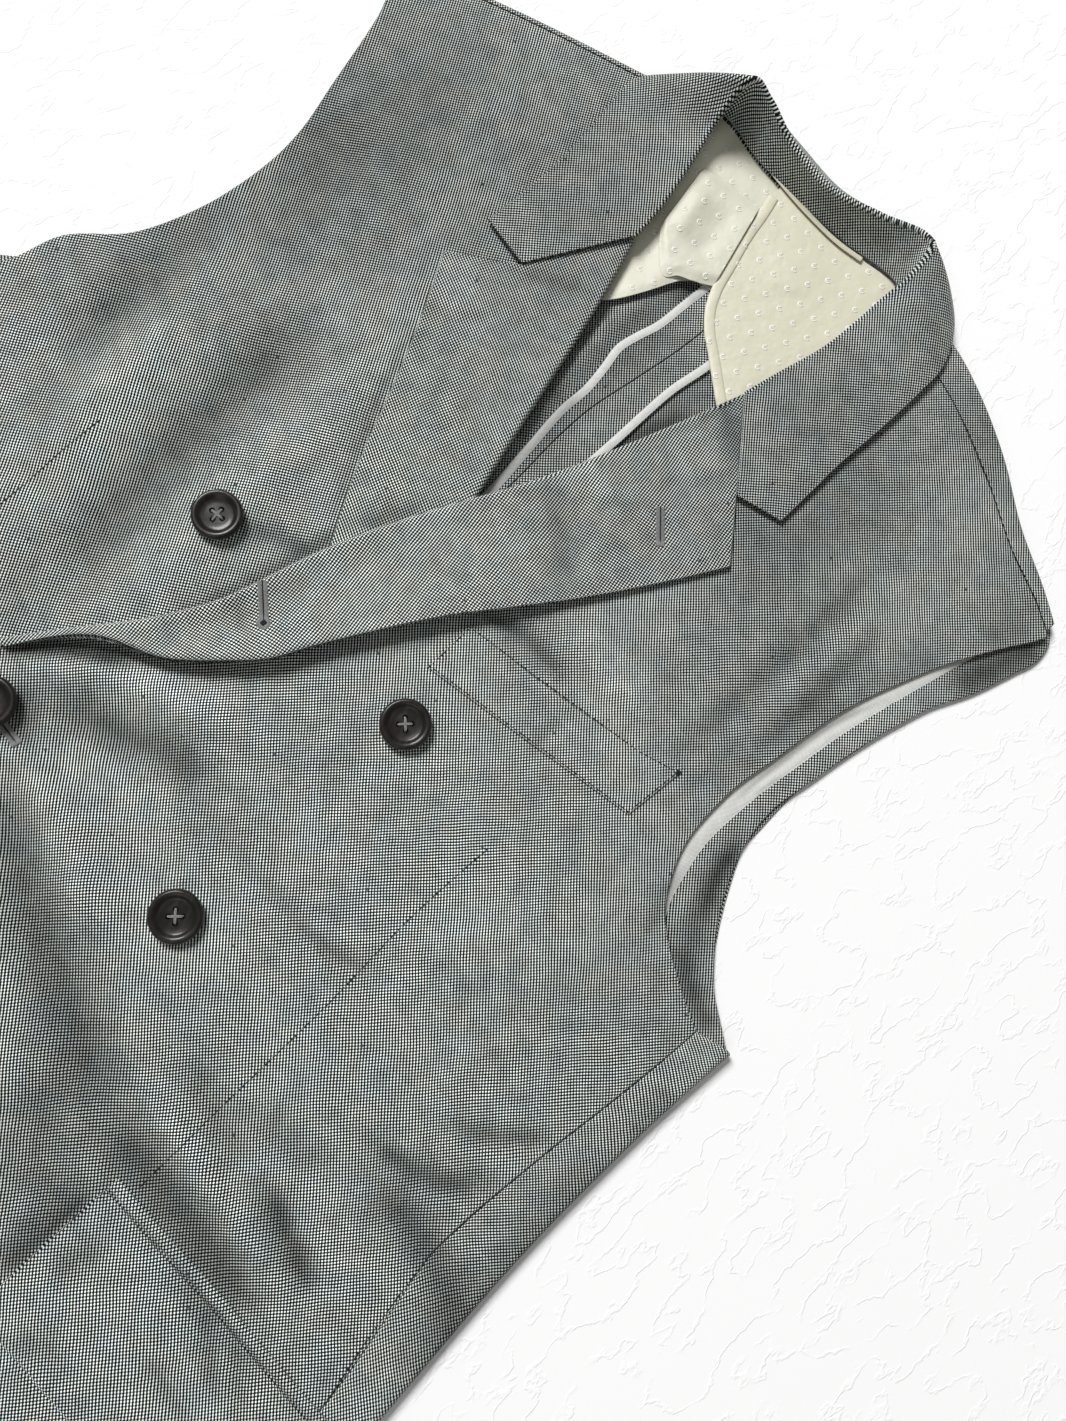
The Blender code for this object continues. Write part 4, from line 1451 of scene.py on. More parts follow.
@dataclass
class Lapel(SidedPiece):
    """A lapel turned back over its front round a soft roll line, with its facing on top."""

    kind: ClassVar[str] = "lapel"
    rows: Rows
    notch: XY
    surface: Surface
    relief: Surface
    grain: float
    spacing: float = 1.7
    turn_steps: int = 10
    columns: int = 48
    leg: float = 2.4
    foot_step: float = 1.9
    full_turn_reach: float = 6.0
    puff_run: float = 7.0
    gorge_gap: float = 0.2

    def sheet(self) -> Sheet:
        """The lapel's shape: under leg, turned roll, then the leaf to its free edge.

        Returns:
            The sheet.
        """
        table = np.array(self.rows, dtype=float)
        knots = chord_knots(table[:, :4].reshape(-1, 2, 2))
        rows = soft_rows(table, knots, sample_knots(knots, self.spacing))
        roll, edge, lift, puff = rows[:, :2], rows[:, 2:4], rows[:, 4], rows[:, 5]
        gorge = ease(1 - np.arange(len(rows)) * self.spacing / (knots[1] - knots[0]))
        reach = np.linalg.norm(edge - roll, axis=1)
        across = (edge - roll) / reach[:, None]
        turn = np.minimum(1.0, reach / self.full_turn_reach)
        radius = LAYERS.ply_step / 2
        start = (LAYERS.lapel / 2 + radius) * turn
        base = self.surface.height(*(roll + across * 2).T)
        spots, marks = [], []

        def add(plan: Array, height: Array, cloth: Array) -> None:
            """Adds one column of the sheet."""
            spots.append(np.column_stack((plan, height)))
            marks.append(cloth)

        foot = roll + across * (start + self.leg - self.foot_step)[:, None]
        add(foot, base, roll - across * (math.pi * radius + self.leg))
        for angle in np.linspace(0, math.pi, self.turn_steps + 1)[:-1]:
            run = start - math.sin(angle) * radius * turn
            height = base + (1 - math.cos(angle)) * (radius + puff / 2)
            back = (start - (math.pi - angle) * (radius + LAYERS.lapel / 2 + puff / 4))[:, None]
            add(roll + across * run[:, None], height, roll + across * back)
        for share in crowded(self.columns, 1.12):
            run = start + share * (reach - start)
            plan = roll + across * run[:, None]
            gorge_point = notched(roll[0] + across[0] * start[0], self.notch, edge[0], np.array([share]))[0]
            plan = plan + gorge[:, None] * (gorge_point - plan[0])
            plan[:, 1] -= self.gorge_gap * gorge
            fullness = puff * np.exp(-(((run - start) / self.puff_run) ** 2))
            height = self.surface.height(*plan.T) + LAYERS.ply_step + lift * share**1.4
            height += fullness + self.relief.height(*plan.T)
            add(plan, height, plan)
        points, cloth = np.stack(spots, axis=1), np.stack(marks, axis=1)
        shades = (*self.relief.creases, UPPER_SHADE)
        return Sheet(points, cloth, painted_shade_of(shades, points))

    def leaf(self) -> Array:
        """The points of the part that shows, from the roll to the free edge."""
        return self.sheet().points[:, self.turn_steps + 1 :]

    def build(self) -> Piece:
        """Makes and dresses the lapel."""
        rests = [f"front_{self.side.word}"]
        return lay_cloth(self.name, self.sheet(), WOOL, self.grain, rests, thickness=LAYERS.lapel)


@dataclass
class Collar:
    """The collar, one strip from gorge to gorge: stand, rolled top edge and fall."""

    rows: Rows
    notches: tuple[XY, XY]
    shades: Sequence[Stroke]
    spacing: float = 2.2
    columns: int = 40
    stand_steps: int = 10
    turn_steps: int = 8
    roll_radius: float = 1.05
    notch_rows: int = 14
    notch_gap: float = 0.7

    def sections(self) -> Array:
        """The strip's sections, each from the neck seam over the roll to the outer edge.

        Returns:
            A grid of points, one row to a section.
        """
        table = np.array(self.rows, dtype=float)
        knots = chord_knots(table[:, :9].reshape(-1, 3, 3))
        rows = soft_rows(table, knots, sample_knots(knots, self.spacing))
        neck, roll, edge, belly = rows[:, 0:3], rows[:, 3:6], rows[:, 6:9], rows[:, 9:10]
        to_neck, to_edge = unit(neck - roll), unit(edge - roll)
        inward, outward = unit(to_neck + to_edge), unit(to_edge - to_neck)
        r = self.roll_radius
        centre = roll + inward * (LAYERS.collar / 2 + r)
        stand_end, fall_start = centre - outward * r, centre + outward * r
        parts = [stand_end + (neck - stand_end) * (1 - s) for s in crowded(self.stand_steps)[:-1]]
        for angle in np.linspace(0, math.pi, self.turn_steps + 1)[:-1]:
            parts.append(centre - outward * r * math.cos(angle) - inward * r * math.sin(angle))
        for share in crowded(self.columns):
            parts.append(fall_start + (edge - fall_start) * share + belly * (0, 0, arch(share)))
        return self.with_notches(np.stack(parts, axis=1))

    def with_notches(self, grid: Array) -> Array:
        """Bends each end of the fall through its notch.

        Args:
            grid: the strip's sections.

        Returns:
            The sections, with the gorge and the notch cut in both ends.
        """
        start = self.stand_steps + self.turn_steps
        share = crowded(self.columns)
        fade = ease(1 - np.arange(self.notch_rows) / self.notch_rows)[:, None, None]
        for strip, notch in zip((grid, grid[::-1]), self.notches):
            fall = strip[0, start:, :2]
            line = notched(fall[0], notch, fall[-1], share) - (0, self.notch_gap)
            strip[: self.notch_rows, start:, :2] += fade * (line - fall)[None]
        return grid

    def build(self) -> Piece:
        """Makes and dresses the collar.

        Returns:
            The collar.
        """
        grid = self.sections()
        start = self.stand_steps + self.turn_steps
        along = running(np.linalg.norm(np.diff(grid, axis=1), axis=-1))
        out = unit(grid[:, start + 8, :2] - grid[:, start, :2])[:, None]
        cloth, stand = grid[..., :2].copy(), self.stand_steps
        run = along[:, stand:start] - along[:, start, None]
        cloth[:, stand:start] = grid[:, start, None, :2] + out * run[..., None]
        rise = (grid[:, :stand, 2] - grid[:, stand, None, 2])[..., None]
        cloth[:, :stand] += (cloth[:, stand] - grid[:, stand, :2])[:, None] + rise * (0, 0.6)
        sheet = Sheet(grid, cloth, painted_shade_of((*self.shades, UPPER_SHADE), grid))
        under = ["lapel_left", "lapel_right", "back_left", "back_right"]
        return lay_cloth("collar", sheet, WOOL, 0.0, under, thickness=LAYERS.collar)


# ------------ lining and inside seams


# Painted shade on the right centre back binding, low in the V and at its top.
TAPE_SHADES = strokes(
    (5, 0, -0.42, -3, 152, 1, 128, 6, 86),
    (5, 0, -0.2, -2, 220, -2, 208),
)


@dataclass
class HalfLining(SidedPiece):
    """Half of the shoulder lining, from its free edge up to the neck and shoulder."""

    kind: ClassVar[str] = "lining"
    hem: Sequence[XY]
    surface: Surface
    satin: SpottedSatin
    shades: Sequence[Stroke] = ()
    spacing: float = 1.4
    rows: int = 60
    top_inset: float = -1.0
    shoulder_inset: float = 14.0
    shoulder_x: float = 56.0

    def grid(self) -> Array:
        """The middle of the lining, rows from the free edge to the neck.

        Returns:
            A grid of points.
        """
        hem = soft_line(self.hem, self.spacing)
        inset = self.top_inset + self.shoulder_inset * ease((np.abs(hem[:, 0]) - self.shoulder_x) / 12)
        top = TOP_EDGE.y(hem[:, 0]) - inset
        y = hem[:, 1] + crowded(self.rows)[:, None] * (top - hem[:, 1])
        x = np.broadcast_to(hem[:, 0], y.shape)
        return self.surface.on(np.dstack([x, y]))

    def build(self, trims: Sequence[Piece] = ()) -> Piece:
        """Makes and dresses the half lining.

        Args:
            trims: the folds and narrow strips that belong to it.

        Returns:
            The half lining.
        """
        sheet = Sheet.laid(self.grid(), self.shades)
        rests = ["back_left", "back_right"]
        return lay_cloth(self.name, sheet, self.satin, 0.0, rests, trims=trims, thickness=LAYERS.lining)


@dataclass
class LiningFold:
    """The fold of spare lining that billows out of the right half."""

    upper: Sequence[XY]
    lower: Sequence[XY]
    surface: Surface
    satin: SpottedSatin = SATIN
    grain: float = 8.0
    rows: int = 44
    spacing: float = 1.1
    plump: float = 1.6

    def build(self) -> Piece:
        """Makes and dresses the fold.

        Returns:
            The fold.
        """
        top = soft_line(self.upper, self.spacing)
        foot = np.array(self.lower, dtype=float)
        knots = chord_knots(foot)
        low = soft_rows(foot, knots, np.linspace(0, knots[-1], len(top)))
        share = crowded(self.rows)[:, None, None]
        plan = top + share * (low - top)
        roll = self.plump * ease(np.minimum(share, 1 - share)[..., 0] / 0.12)
        sheet = Sheet.laid(self.surface.on(plan, roll))
        piece = sheet.to_object("lining_right_fold", LAYERS.lining)
        attach(piece, self.satin, grain=self.grain)
        return piece


@dataclass
class EdgePiping:
    """The narrow rolled edge of the left half lining, lying on its free edge."""

    line: Sequence[XY]
    surface: Surface
    satin: SpottedSatin
    width: float = 4.6
    plump: float = 0.75
    steps: int = 12

    def build(self) -> Piece:
        """Makes and dresses the edge.

        Returns:
            The edge.
        """
        line = soft_line(self.line, 0.9)
        rows = []
        for share in crowded(self.steps):
            flat = offset_line(line, (share - 0.15) * self.width)
            rows.append(self.surface.on(flat, self.plump * arch(share) ** 0.3))
        piece = Sheet.laid(np.stack(rows)).to_object("lining_left_piping", LAYERS.lining)
        attach(piece, self.satin)
        return piece


def circle_points(angles: Array) -> Array:
    """Points of the unit circle on the plan."""
    return np.column_stack((np.cos(angles), np.sin(angles)))


def strip_grid(
    line: Array, low: float, high: float, surface: Surface, count: int, crown: float = 0.0
) -> Array:
    """A strip laid along a line.

    Args:
        line: the strip's guide line on the plan.
        low: where its first edge lies, to the left of the line's direction.
        high: where its other edge lies.
        surface: what it lies on.
        count: how many faces wide it is.
        crown: how much higher its middle is than its edges.

    Returns:
        The strip's grid, rows along the line.
    """
    columns = []
    for share in crowded(count):
        columns.append(surface.on(offset_line(line, low + share * (high - low)), crown * arch(share)))
    return np.stack(columns, axis=1)


@dataclass
class CentreBackSeam:
    """One side of the centre back seam: its allowance, pressed open, with a binding on its edge."""

    side: Side
    edge: Sequence[XY]
    seam: Sequence[XY]
    surface: Surface
    binding_width: float = 3.6
    binding_inset: float = 0.15
    seam_gap: float = 0.06
    columns: int = 10

    def build(self) -> list[Piece]:
        """Makes and dresses the allowance and its binding.

        Returns:
            The allowance, then the binding.
        """
        sign, word = self.side.value, self.side.word
        spacing = np.where(np.array(self.edge)[1:, 1] < 60, 25.0, 2.4)
        bound, seam = soft_line(self.edge, spacing), soft_line(self.seam, 4.0)
        seam_x = np.interp(-bound[:, 1], -seam[:, 1], seam[:, 0])
        inner = np.column_stack((seam_x + sign * self.seam_gap, bound[:, 1]))
        outer = offset_line(bound, sign * 2 * self.binding_inset)
        plan = inner[:, None] + crowded(self.columns)[None, :, None] * (outer - inner)[:, None]
        cloth = Sheet.laid(self.surface.on(plan), self.surface.creases)
        reach = sorted(-sign * (self.binding_inset + width) for width in (0.0, self.binding_width))
        strip = Sheet.rolled(strip_grid(bound, *reach, self.surface, 8, 0.4), TAPE_SHADES)
        return [
            lay_trim(f"seam_allowance_{word}", cloth, WOOL, LAYERS.cloth, grain=2.0),
            lay_trim(f"seam_binding_{word}", strip, TAPE, TAPE_THICKNESS),
        ]


@dataclass
class ArmholeEdge:
    """The facing inside the left armhole and the binding along its free edge."""

    line: Sequence[XY]
    bound: Sequence[XY]
    creases: Sequence[Stroke]
    binding_width: float = 9.5
    level: float = LAYERS.allowance
    puff: float = 0.9
    columns: int = 12

    def build(self) -> Piece:
        """Makes and dresses the facing and its binding.

        Returns:
            The facing.
        """
        outer, bound = soft_line(self.line, 2.4), np.array(self.bound, dtype=float)
        knots = chord_knots(bound)
        inner = soft_rows(bound, knots, np.linspace(0, knots[-1], len(outer)))
        share = crowded(self.columns)[None, :, None]
        plan = outer[:, None] + share * (offset_line(inner, self.binding_width * 0.7) - outer)[:, None]
        surface = Surface(self.level, tuple(self.creases))
        facing = Sheet.laid(surface.on(plan, self.puff * arch(share[..., 0]) ** 0.7), self.creases)
        raised = Surface(self.level + LAYERS.cloth * 0.8, tuple(self.creases))
        strip = Sheet.rolled(strip_grid(inner, 0.1, self.binding_width, raised, 16, 0.6), self.creases)
        binding = lay_trim("armhole_binding", strip, TAPE, TAPE_THICKNESS)
        return lay_cloth("armhole_facing", facing, WOOL, 0.0, ["back_left"], [binding])


@dataclass
class HangerLoop:
    """The narrow loop across the back of the neck."""

    line: Sequence[XY] = ((-24, 278), (-12, 277), (6, 276.6), (20, 277.4), (33, 280.2))
    width: float = 2.2
    thickness: float = 0.8
    level: float = 5.5

    def build(self) -> Piece:
        """Makes and dresses the loop.

        Returns:
            The loop.
        """
        line = soft_line(self.line, 1.0)
        grid = strip_grid(line, -self.width / 2, self.width / 2, Surface(self.level), 8, 0.3)
        return lay_trim("hanger_loop", Sheet.rolled(grid), LOOP_TAPE, self.thickness)


# ------------ stitching


@dataclass
class Stitching:
    """Many short threads made as one piece."""

    name: str
    thread: PlainTape
    around: int = 6
    threads: list[tuple[Array, Array, float]] = field(default_factory=list)

    def add(self, start: Sequence[float], end: Sequence[float], radius: float) -> None:
        """Adds one straight stitch between two points."""
        self.threads.append((np.array(start, dtype=float), np.array(end, dtype=float), radius))

    def run(
        self, line: Array, length: float, gap: float, radius: float, surface: Surface, lift: float
    ) -> None:
        """Adds a row of running stitches.

        Args:
            line: the row's line on the plan.
            length: the length of each stitch that shows.
            gap: the space between stitches.
            radius: the thread's radius.
            surface: the cloth's middle.
            lift: how far above that the stitches lie.
        """
        knots = chord_knots(line)
        starts = np.arange(gap / 2, knots[-1] - length, length + gap)
        near, far = (surface.on(soft_run(line, knots, at), lift) for at in (starts, starts + length))
        for start, end in zip(near, far):
            self.add(start, end, radius)

    def whip(
        self, line: Array, gap: float, reach: float, surface: Surface, lift: float,
        radius: float, lean: float = 0.0,
    ) -> None:
        """Adds slanted stitches across a line.

        Args:
            line: the line that they cross.
            gap: how far apart they lie.
            reach: how far each goes to either side of it.
            surface: the cloth's middle.
            lift: how far above that the stitches lie.
            radius: the thread's radius.
            lean: how far each leans along the line.
        """
        knots = chord_knots(line)
        at = np.arange(gap / 2, knots[-1], gap)
        middle = soft_run(line, knots, at)
        tangent, side = line_frame(middle)
        left = middle + side * reach + tangent * lean / 2
        right = middle - side * reach - tangent * lean / 2
        for first, second in zip(surface.on(left, lift), surface.on(right, lift)):
            self.add(first, second, radius)

    def build(self) -> Piece:
        """Makes and dresses all the stitches as one piece.

        Returns:
            The piece.
        """
        profile = np.array([(-0.5, 0.35), (-0.42, 0.85), (-0.15, 1), (0.15, 1), (0.42, 0.85), (0.5, 0.35)])
        angles = np.arange(self.around) * 2 * math.pi / self.around
        rings = len(profile)
        index = np.arange(rings * self.around).reshape(rings, self.around)
        after = np.roll(index, -1, axis=1)
        sides = np.stack([index[:-1], after[:-1], after[1:], index[1:]], axis=-1).reshape(-1, 4)
        half = self.around // 2
        caps = []
        for ring, turn in ((index[0], -1), (index[-1], 1)):
            for k in range(half - 1):
                caps.append([ring[k], ring[k + 1], ring[-2 - k], ring[-1 - k]][::turn])
        faces = np.concatenate([sides, np.array(caps)])
        spots, quads = [], []
        for number, (start, end, radius) in enumerate(self.threads):
            along = end - start
            length = float(np.linalg.norm(along))
            axis = along / max(length, 1e-6)
            across = unit(np.cross(axis, (0.0, 0.0, 1.0)) + (1e-9, 0, 0))
            up = np.cross(across, axis)
            body = (start + end) / 2 + profile[:, 0, None, None] * (length + radius) * axis
            circle = np.cos(angles)[:, None] * across + np.sin(angles)[:, None] * up
            spots.append((body + profile[:, 1, None, None] * radius * circle[None]).reshape(-1, 3))
            quads.append(faces + number * rings * self.around)
        points = np.concatenate(spots)
        marks = np.column_stack((points[:, :2] * 2, np.ones(len(points))))
        piece = shell_object(self.name, points, np.concatenate(quads), marks)
        attach(piece, self.thread)
        return piece


@dataclass
class SeamLine:
    """A sewn seam or dart in a front, which shows as short dark dashes along its line."""

    name: str
    lines: Sequence[Sequence[XY]]
    surface: Surface
    length: float = 1.2
    gap: float = 0.9
    radius: float = 0.3
    lift: float = LAYERS.cloth / 2 + THREAD_RISE

    def build(self) -> Piece:
        """Makes and dresses the dashes.

        Returns:
            The dashes as one piece.
        """
        stitches = Stitching(self.name, DARK_THREAD, around=4)
        for line in self.lines:
            stitches.run(soft_line(line, 3.0), self.length, self.gap, self.radius, self.surface, self.lift)
        return stitches.build()


# ------------ pockets


@dataclass
class Patch:
    """A flat-cut piece laid on a front, between two edges."""

    name: str
    low: Sequence[XY]
    high: Sequence[XY]
    surface: Surface
    grain: float
    shades: Sequence[Stroke] = ()
    lift: float = 0.8
    thickness: float = 0.6
    bulge: float = 0.0
    spacing: float = 2.0
    corners: Sequence[int] = ()

    def grid(self) -> Array:
        """The middle of the piece.

        Returns:
            A grid of points.
        """
        low = np.array(self.low, dtype=float)
        high = np.array(self.high, dtype=float)
        knots = chord_knots(np.stack([low, high], axis=1))
        at = sample_knots(knots, self.spacing)
        first, second = (soft_rows(side, knots, at, self.corners) for side in (low, high))
        count = max(2, math.ceil(float(np.linalg.norm(second - first, axis=1).max()) / self.spacing))
        share = crowded(count)[:, None, None]
        plan = first + share * (second - first)
        along = np.linspace(0, 1, len(at))[None]
        swell = self.bulge * arch(share[..., 0]) * np.sqrt(np.maximum(arch(along), 0))
        return self.surface.on(plan, self.lift + swell)

    def build(self, rests_on: Sequence[str] = (), trims: Sequence[Piece] = ()) -> Piece:
        """Makes and dresses the piece.

        Args:
            rests_on: what it lies on; nothing for a narrow strip sewn on to another piece.
            trims: the narrow strips sewn on to it.

        Returns:
            The piece.
        """
        sheet = Sheet.laid(self.grid(), self.shades)
        if not rests_on:
            return lay_trim(self.name, sheet, WOOL, self.thickness, self.grain)
        return lay_cloth(
            self.name, sheet, WOOL, self.grain, rests_on, trims=trims, thickness=self.thickness
        )


@dataclass
class BreastPocket:
    """The slanted breast pocket welt with its edge stitches and corner tacks."""

    corners: tuple[XY, XY, XY, XY]
    sag: XY
    surface: Surface
    grain: float
    stitch: ClassVar[tuple[float, float]] = (1.1, 0.95)
    thread_radius: ClassVar[float] = 0.24
    tack_length: ClassVar[float] = 2.2

    def build(self) -> Piece:
        """Makes and dresses the welt and its stitching.

        Returns:
            The welt.
        """
        low_in, low_out, high_out, high_in = (np.array(corner, dtype=float) for corner in self.corners)
        sag = np.array(self.sag, dtype=float)
        share = float(np.linalg.norm(sag - high_in) / np.linalg.norm(high_out - high_in))
        low = (low_in, low_in + share * (low_out - low_in), low_out)
        high, creases = (high_in, sag, high_out), self.surface.creases
        welt = Patch("breast_welt", low, high, self.surface, self.grain, creases)
        stitches = Stitching("welt_stitches", DARK_THREAD, around=4)
        lift = welt.lift + welt.thickness / 2 + THREAD_RISE
        along, up = unit(low_out - low_in), unit(high_in - low_in)
        for start, end in (
            (low_in + up, low_out + up),
            (high_in - up, sag - up),
            (sag - up, high_out - up),
            (low_in + along, high_in + along),
            (low_out - along, high_out - along),
        ):
            stitches.run(np.array([start, end]), *self.stitch, self.thread_radius, self.surface, lift)
        tack = np.array([high_out, high_out - up * self.tack_length]) - along
        stitches.whip(tack, 0.45, 0.9, self.surface, lift + 0.1, radius=0.2)
        return welt.build(["front_left"], [stitches.build()])


@dataclass
class HipPocket:
    """A hip pocket: its flap and the jet that the flap hangs from."""

    side: Side
    surface: Surface
    grain: float
    front_x: float = 110.0
    top_y: float = -187.0
    width: float = 112.0
    depth: float = 56.0
    corner: float = 12.0
    jet_height: float = 4.6
    foot_inset: float = 5.0
    stitch: ClassVar[tuple[float, float]] = (1.3, 2.2)
    thread_radius: ClassVar[float] = 0.2
    flap_lift: ClassVar[float] = 1.6

    def build(self) -> Piece:
        """Makes and dresses the flap, the jet and the flap's stitching.

        Returns:
            The flap.
        """
        word, sign = self.side.word, self.side.value
        round_part = np.linspace(0, self.corner, 8)
        half = np.concatenate([round_part, np.linspace(self.corner, self.width / 2, 4)[1:]])
        places = np.concatenate([half, (self.width - half[:-1])[::-1]])
        from_end = np.minimum(np.minimum(places, self.width - places), self.corner)
        drop = self.depth - self.corner + np.sqrt(self.corner**2 - (self.corner - from_end) ** 2)
        x = sign * (self.front_x + places)
        foot = [(float(a), self.top_y - float(b)) for a, b in zip(x, drop)]
        head = [(float(a), self.top_y) for a in x]
        # Painted shadow in the gap along the flap's front edge.
        gap_x = sign * (self.front_x - 2.5)
        gap = strokes((1.7, 0, -0.85, gap_x, self.top_y + 3, gap_x, self.top_y - 49))
        shades = (*self.surface.creases, *gap)
        flap = Patch(
            f"hip_flap_{word}", foot, head, self.surface, self.grain, shades,
            lift=self.flap_lift, thickness=0.9, bulge=0.8,
        )
        ends = (sign * self.front_x, sign * (self.front_x + self.width))
        jet_low = [(x, self.top_y + 0.4) for x in ends]
        jet_high = [(x, self.top_y + self.jet_height) for x in ends]
        # Painted shade line along the top of the jet.
        shades = strokes((1.4, 0, -0.5, ends[0], self.top_y, ends[1], self.top_y))
        jet = Patch(f"hip_jet_{word}", jet_low, jet_high, self.surface, self.grain, shades, bulge=0.7)
        stitches = Stitching(f"flap_stitches_{word}", DARK_THREAD)
        inset = self.depth - self.foot_inset
        line = np.array([(a, self.top_y - min(b, inset)) for a, b in zip(x, drop)])
        lift = self.flap_lift + LAYERS.cloth / 2 - 0.05
        stitches.run(line, *self.stitch, self.thread_radius, self.surface, lift)
        return flap.build([f"front_{word}"], [jet.build(), stitches.build()])


# ------------ buttons and buttonholes


@dataclass
class ButtonBlank:
    """A turned and drilled four-hole button body, from which every button of the coat is copied."""

    radius: float = 10.0
    segments: int = 96
    hole_radius: float = 0.95
    hole_reach: float = 2.55
    profile: tuple[XY, ...] = (
        (0.0, 2.25), (3.0, 2.22), (5.4, 2.3), (6.5, 2.55), (7.1, 3.0), (7.7, 3.45), (8.4, 3.66),
        (9.0, 3.62), (9.55, 3.25), (9.9, 2.6), (10.0, 1.9), (9.75, 1.2), (8.9, 0.55), (6.0, 0.05), (0.0, 0.0),
    )

    def holes(self) -> Array:
        """The middles of the four holes, about the button's axis."""
        spots = self.hole_reach * circle_points(math.pi / 4 + np.arange(4) * math.pi / 2)
        return np.column_stack((spots, np.zeros(4)))

    def turned(self) -> Piece:
        """The undrilled body, turned about its own axis, in millimetres.

        Returns:
            The body.
        """
        bm = bmesh.new()
        angles = np.linspace(0, 2 * math.pi, self.segments, endpoint=False)
        rings = []
        for radius, height in soft_line(self.profile, 0.3, [10]):
            ends = angles if radius > 1e-6 else angles[:1]
            rings.append([bm.verts.new((radius * math.cos(a), radius * math.sin(a), height)) for a in ends])
        for first, second in zip(rings, rings[1:]):
            for k in range(self.segments):
                m = (k + 1) % self.segments
                pairs = ((first, k), (second, k), (second, m), (first, m))
                bm.faces.new(list(dict.fromkeys(ring[at % len(ring)] for ring, at in pairs)))
        bmesh.ops.recalc_face_normals(bm, faces=bm.faces)
        return self.linked("button_body", bm)

    @staticmethod
    def linked(name: str, bm: bmesh.types.BMesh) -> Piece:
        """An object made from a bmesh, linked to the scene.

        Args:
            name: the object's name.
            bm: its shape, which is freed.

        Returns:
            The object.
        """
        mesh = bpy.data.meshes.new(name)
        bm.to_mesh(mesh)
        bm.free()
        return link_object(name, mesh)

    def mesh(self) -> bpy.types.Mesh:
        """The body with its four countersunk holes cut through.

        Returns:
            The drilled body's mesh.
        """
        body = self.turned()
        for low, high, narrow, wide in ((-1, 2.0, 1.0, 1.0), (1.9, 2.6, 0.98, 1.5)):
            bm = bmesh.new()
            for hole in self.holes():
                place = Vector(hole) + Vector((0, 0, (low + high) / 2))
                bmesh.ops.create_cone(
                    bm, cap_ends=True, segments=24, radius1=self.hole_radius * narrow,
                    radius2=self.hole_radius * wide, depth=high - low, matrix=Matrix.Translation(place),
                )
            cutter = self.linked("drill", bm)
            cut = body.modifiers.new("holes", "BOOLEAN")
            cut.operation, cut.solver, cut.object = "DIFFERENCE", "EXACT", cutter
            graph = bpy.context.evaluated_depsgraph_get()
            drilled = bpy.data.meshes.new_from_object(body.evaluated_get(graph))
            body.modifiers.clear()
            body.data = drilled
            bpy.data.objects.remove(cutter)
        bpy.data.objects.remove(body)
        return drilled


@dataclass
class Button:
    """One button, sewn through its holes with two stitches that cross."""

    name: str
    x: float
    y: float
    surface: Surface
    turn: float
    thread_on: ClassVar[tuple[tuple[int, int], ...]] = ((0, 2), (1, 3))
    thread_radius: ClassVar[float] = 0.24
    thread_height: ClassVar[float] = 2.42
    shank: ClassVar[tuple[XYZ, XYZ]] = ((0.25, 0.1, 0.2), (-0.2, -0.1, 1.7))
    shank_radius: ClassVar[float] = 0.42
    sharp_angle: ClassVar[float] = 38.0
    seat: float = 0.5

    def base(self, radius: float) -> float:
        """The height that the button stands on: the cloth's highest point under it.

        Args:
            radius: the button's radius.

        Returns:
            The height in millimetres on the plan.
        """
        spots = np.concatenate([radius * circle_points(np.linspace(0, 2 * math.pi, 24)), [(0.0, 0.0)]])
        highest = self.surface.height(*(spots + (self.x, self.y)).T).max()
        return float(highest) + LAYERS.cloth / 2 + self.seat

    def build(self, blank: ButtonBlank, body: bpy.types.Mesh) -> None:
        """Makes and dresses the button and its thread.

        Args:
            blank: the sizes of the button's body.
            body: that body's mesh, about its own axis in millimetres.
        """
        mesh = body.copy()
        spots = np.empty(len(mesh.vertices) * 3, np.float32)
        mesh.vertices.foreach_get("co", spots)
        spots = spots.reshape(-1, 3)
        mark_cloth(mesh, np.column_stack((spots[:, :2], np.ones(len(spots)))))
        place = np.array((self.x, self.y, self.base(blank.radius)))
        turn = np.array(Matrix.Rotation(self.turn, 3, "Z"))
        mesh.vertices.foreach_set("co", PLAN.place(spots @ turn.T + place).astype(np.float32).ravel())
        mesh.shade_smooth()
        mesh.set_sharp_from_angle(angle=math.radians(self.sharp_angle))
        mesh.update()
        attach(link_object(f"{self.name}_horn", mesh), HORN, [self.name])
        thread = Stitching(f"{self.name}_thread", GREY_THREAD)
        holes = blank.holes() @ turn.T + place
        for first, second in self.thread_on:
            across = unit(np.cross(holes[second] - holes[first], (0, 0, 1.0)))
            for side in (-self.thread_radius, self.thread_radius):
                shift = across * side + (0, 0, self.thread_height)
                thread.add(holes[first] + shift, holes[second] + shift, self.thread_radius)
        for hole in holes:
            thread.add(*(hole + end for end in self.shank), self.shank_radius)
        thread.build()


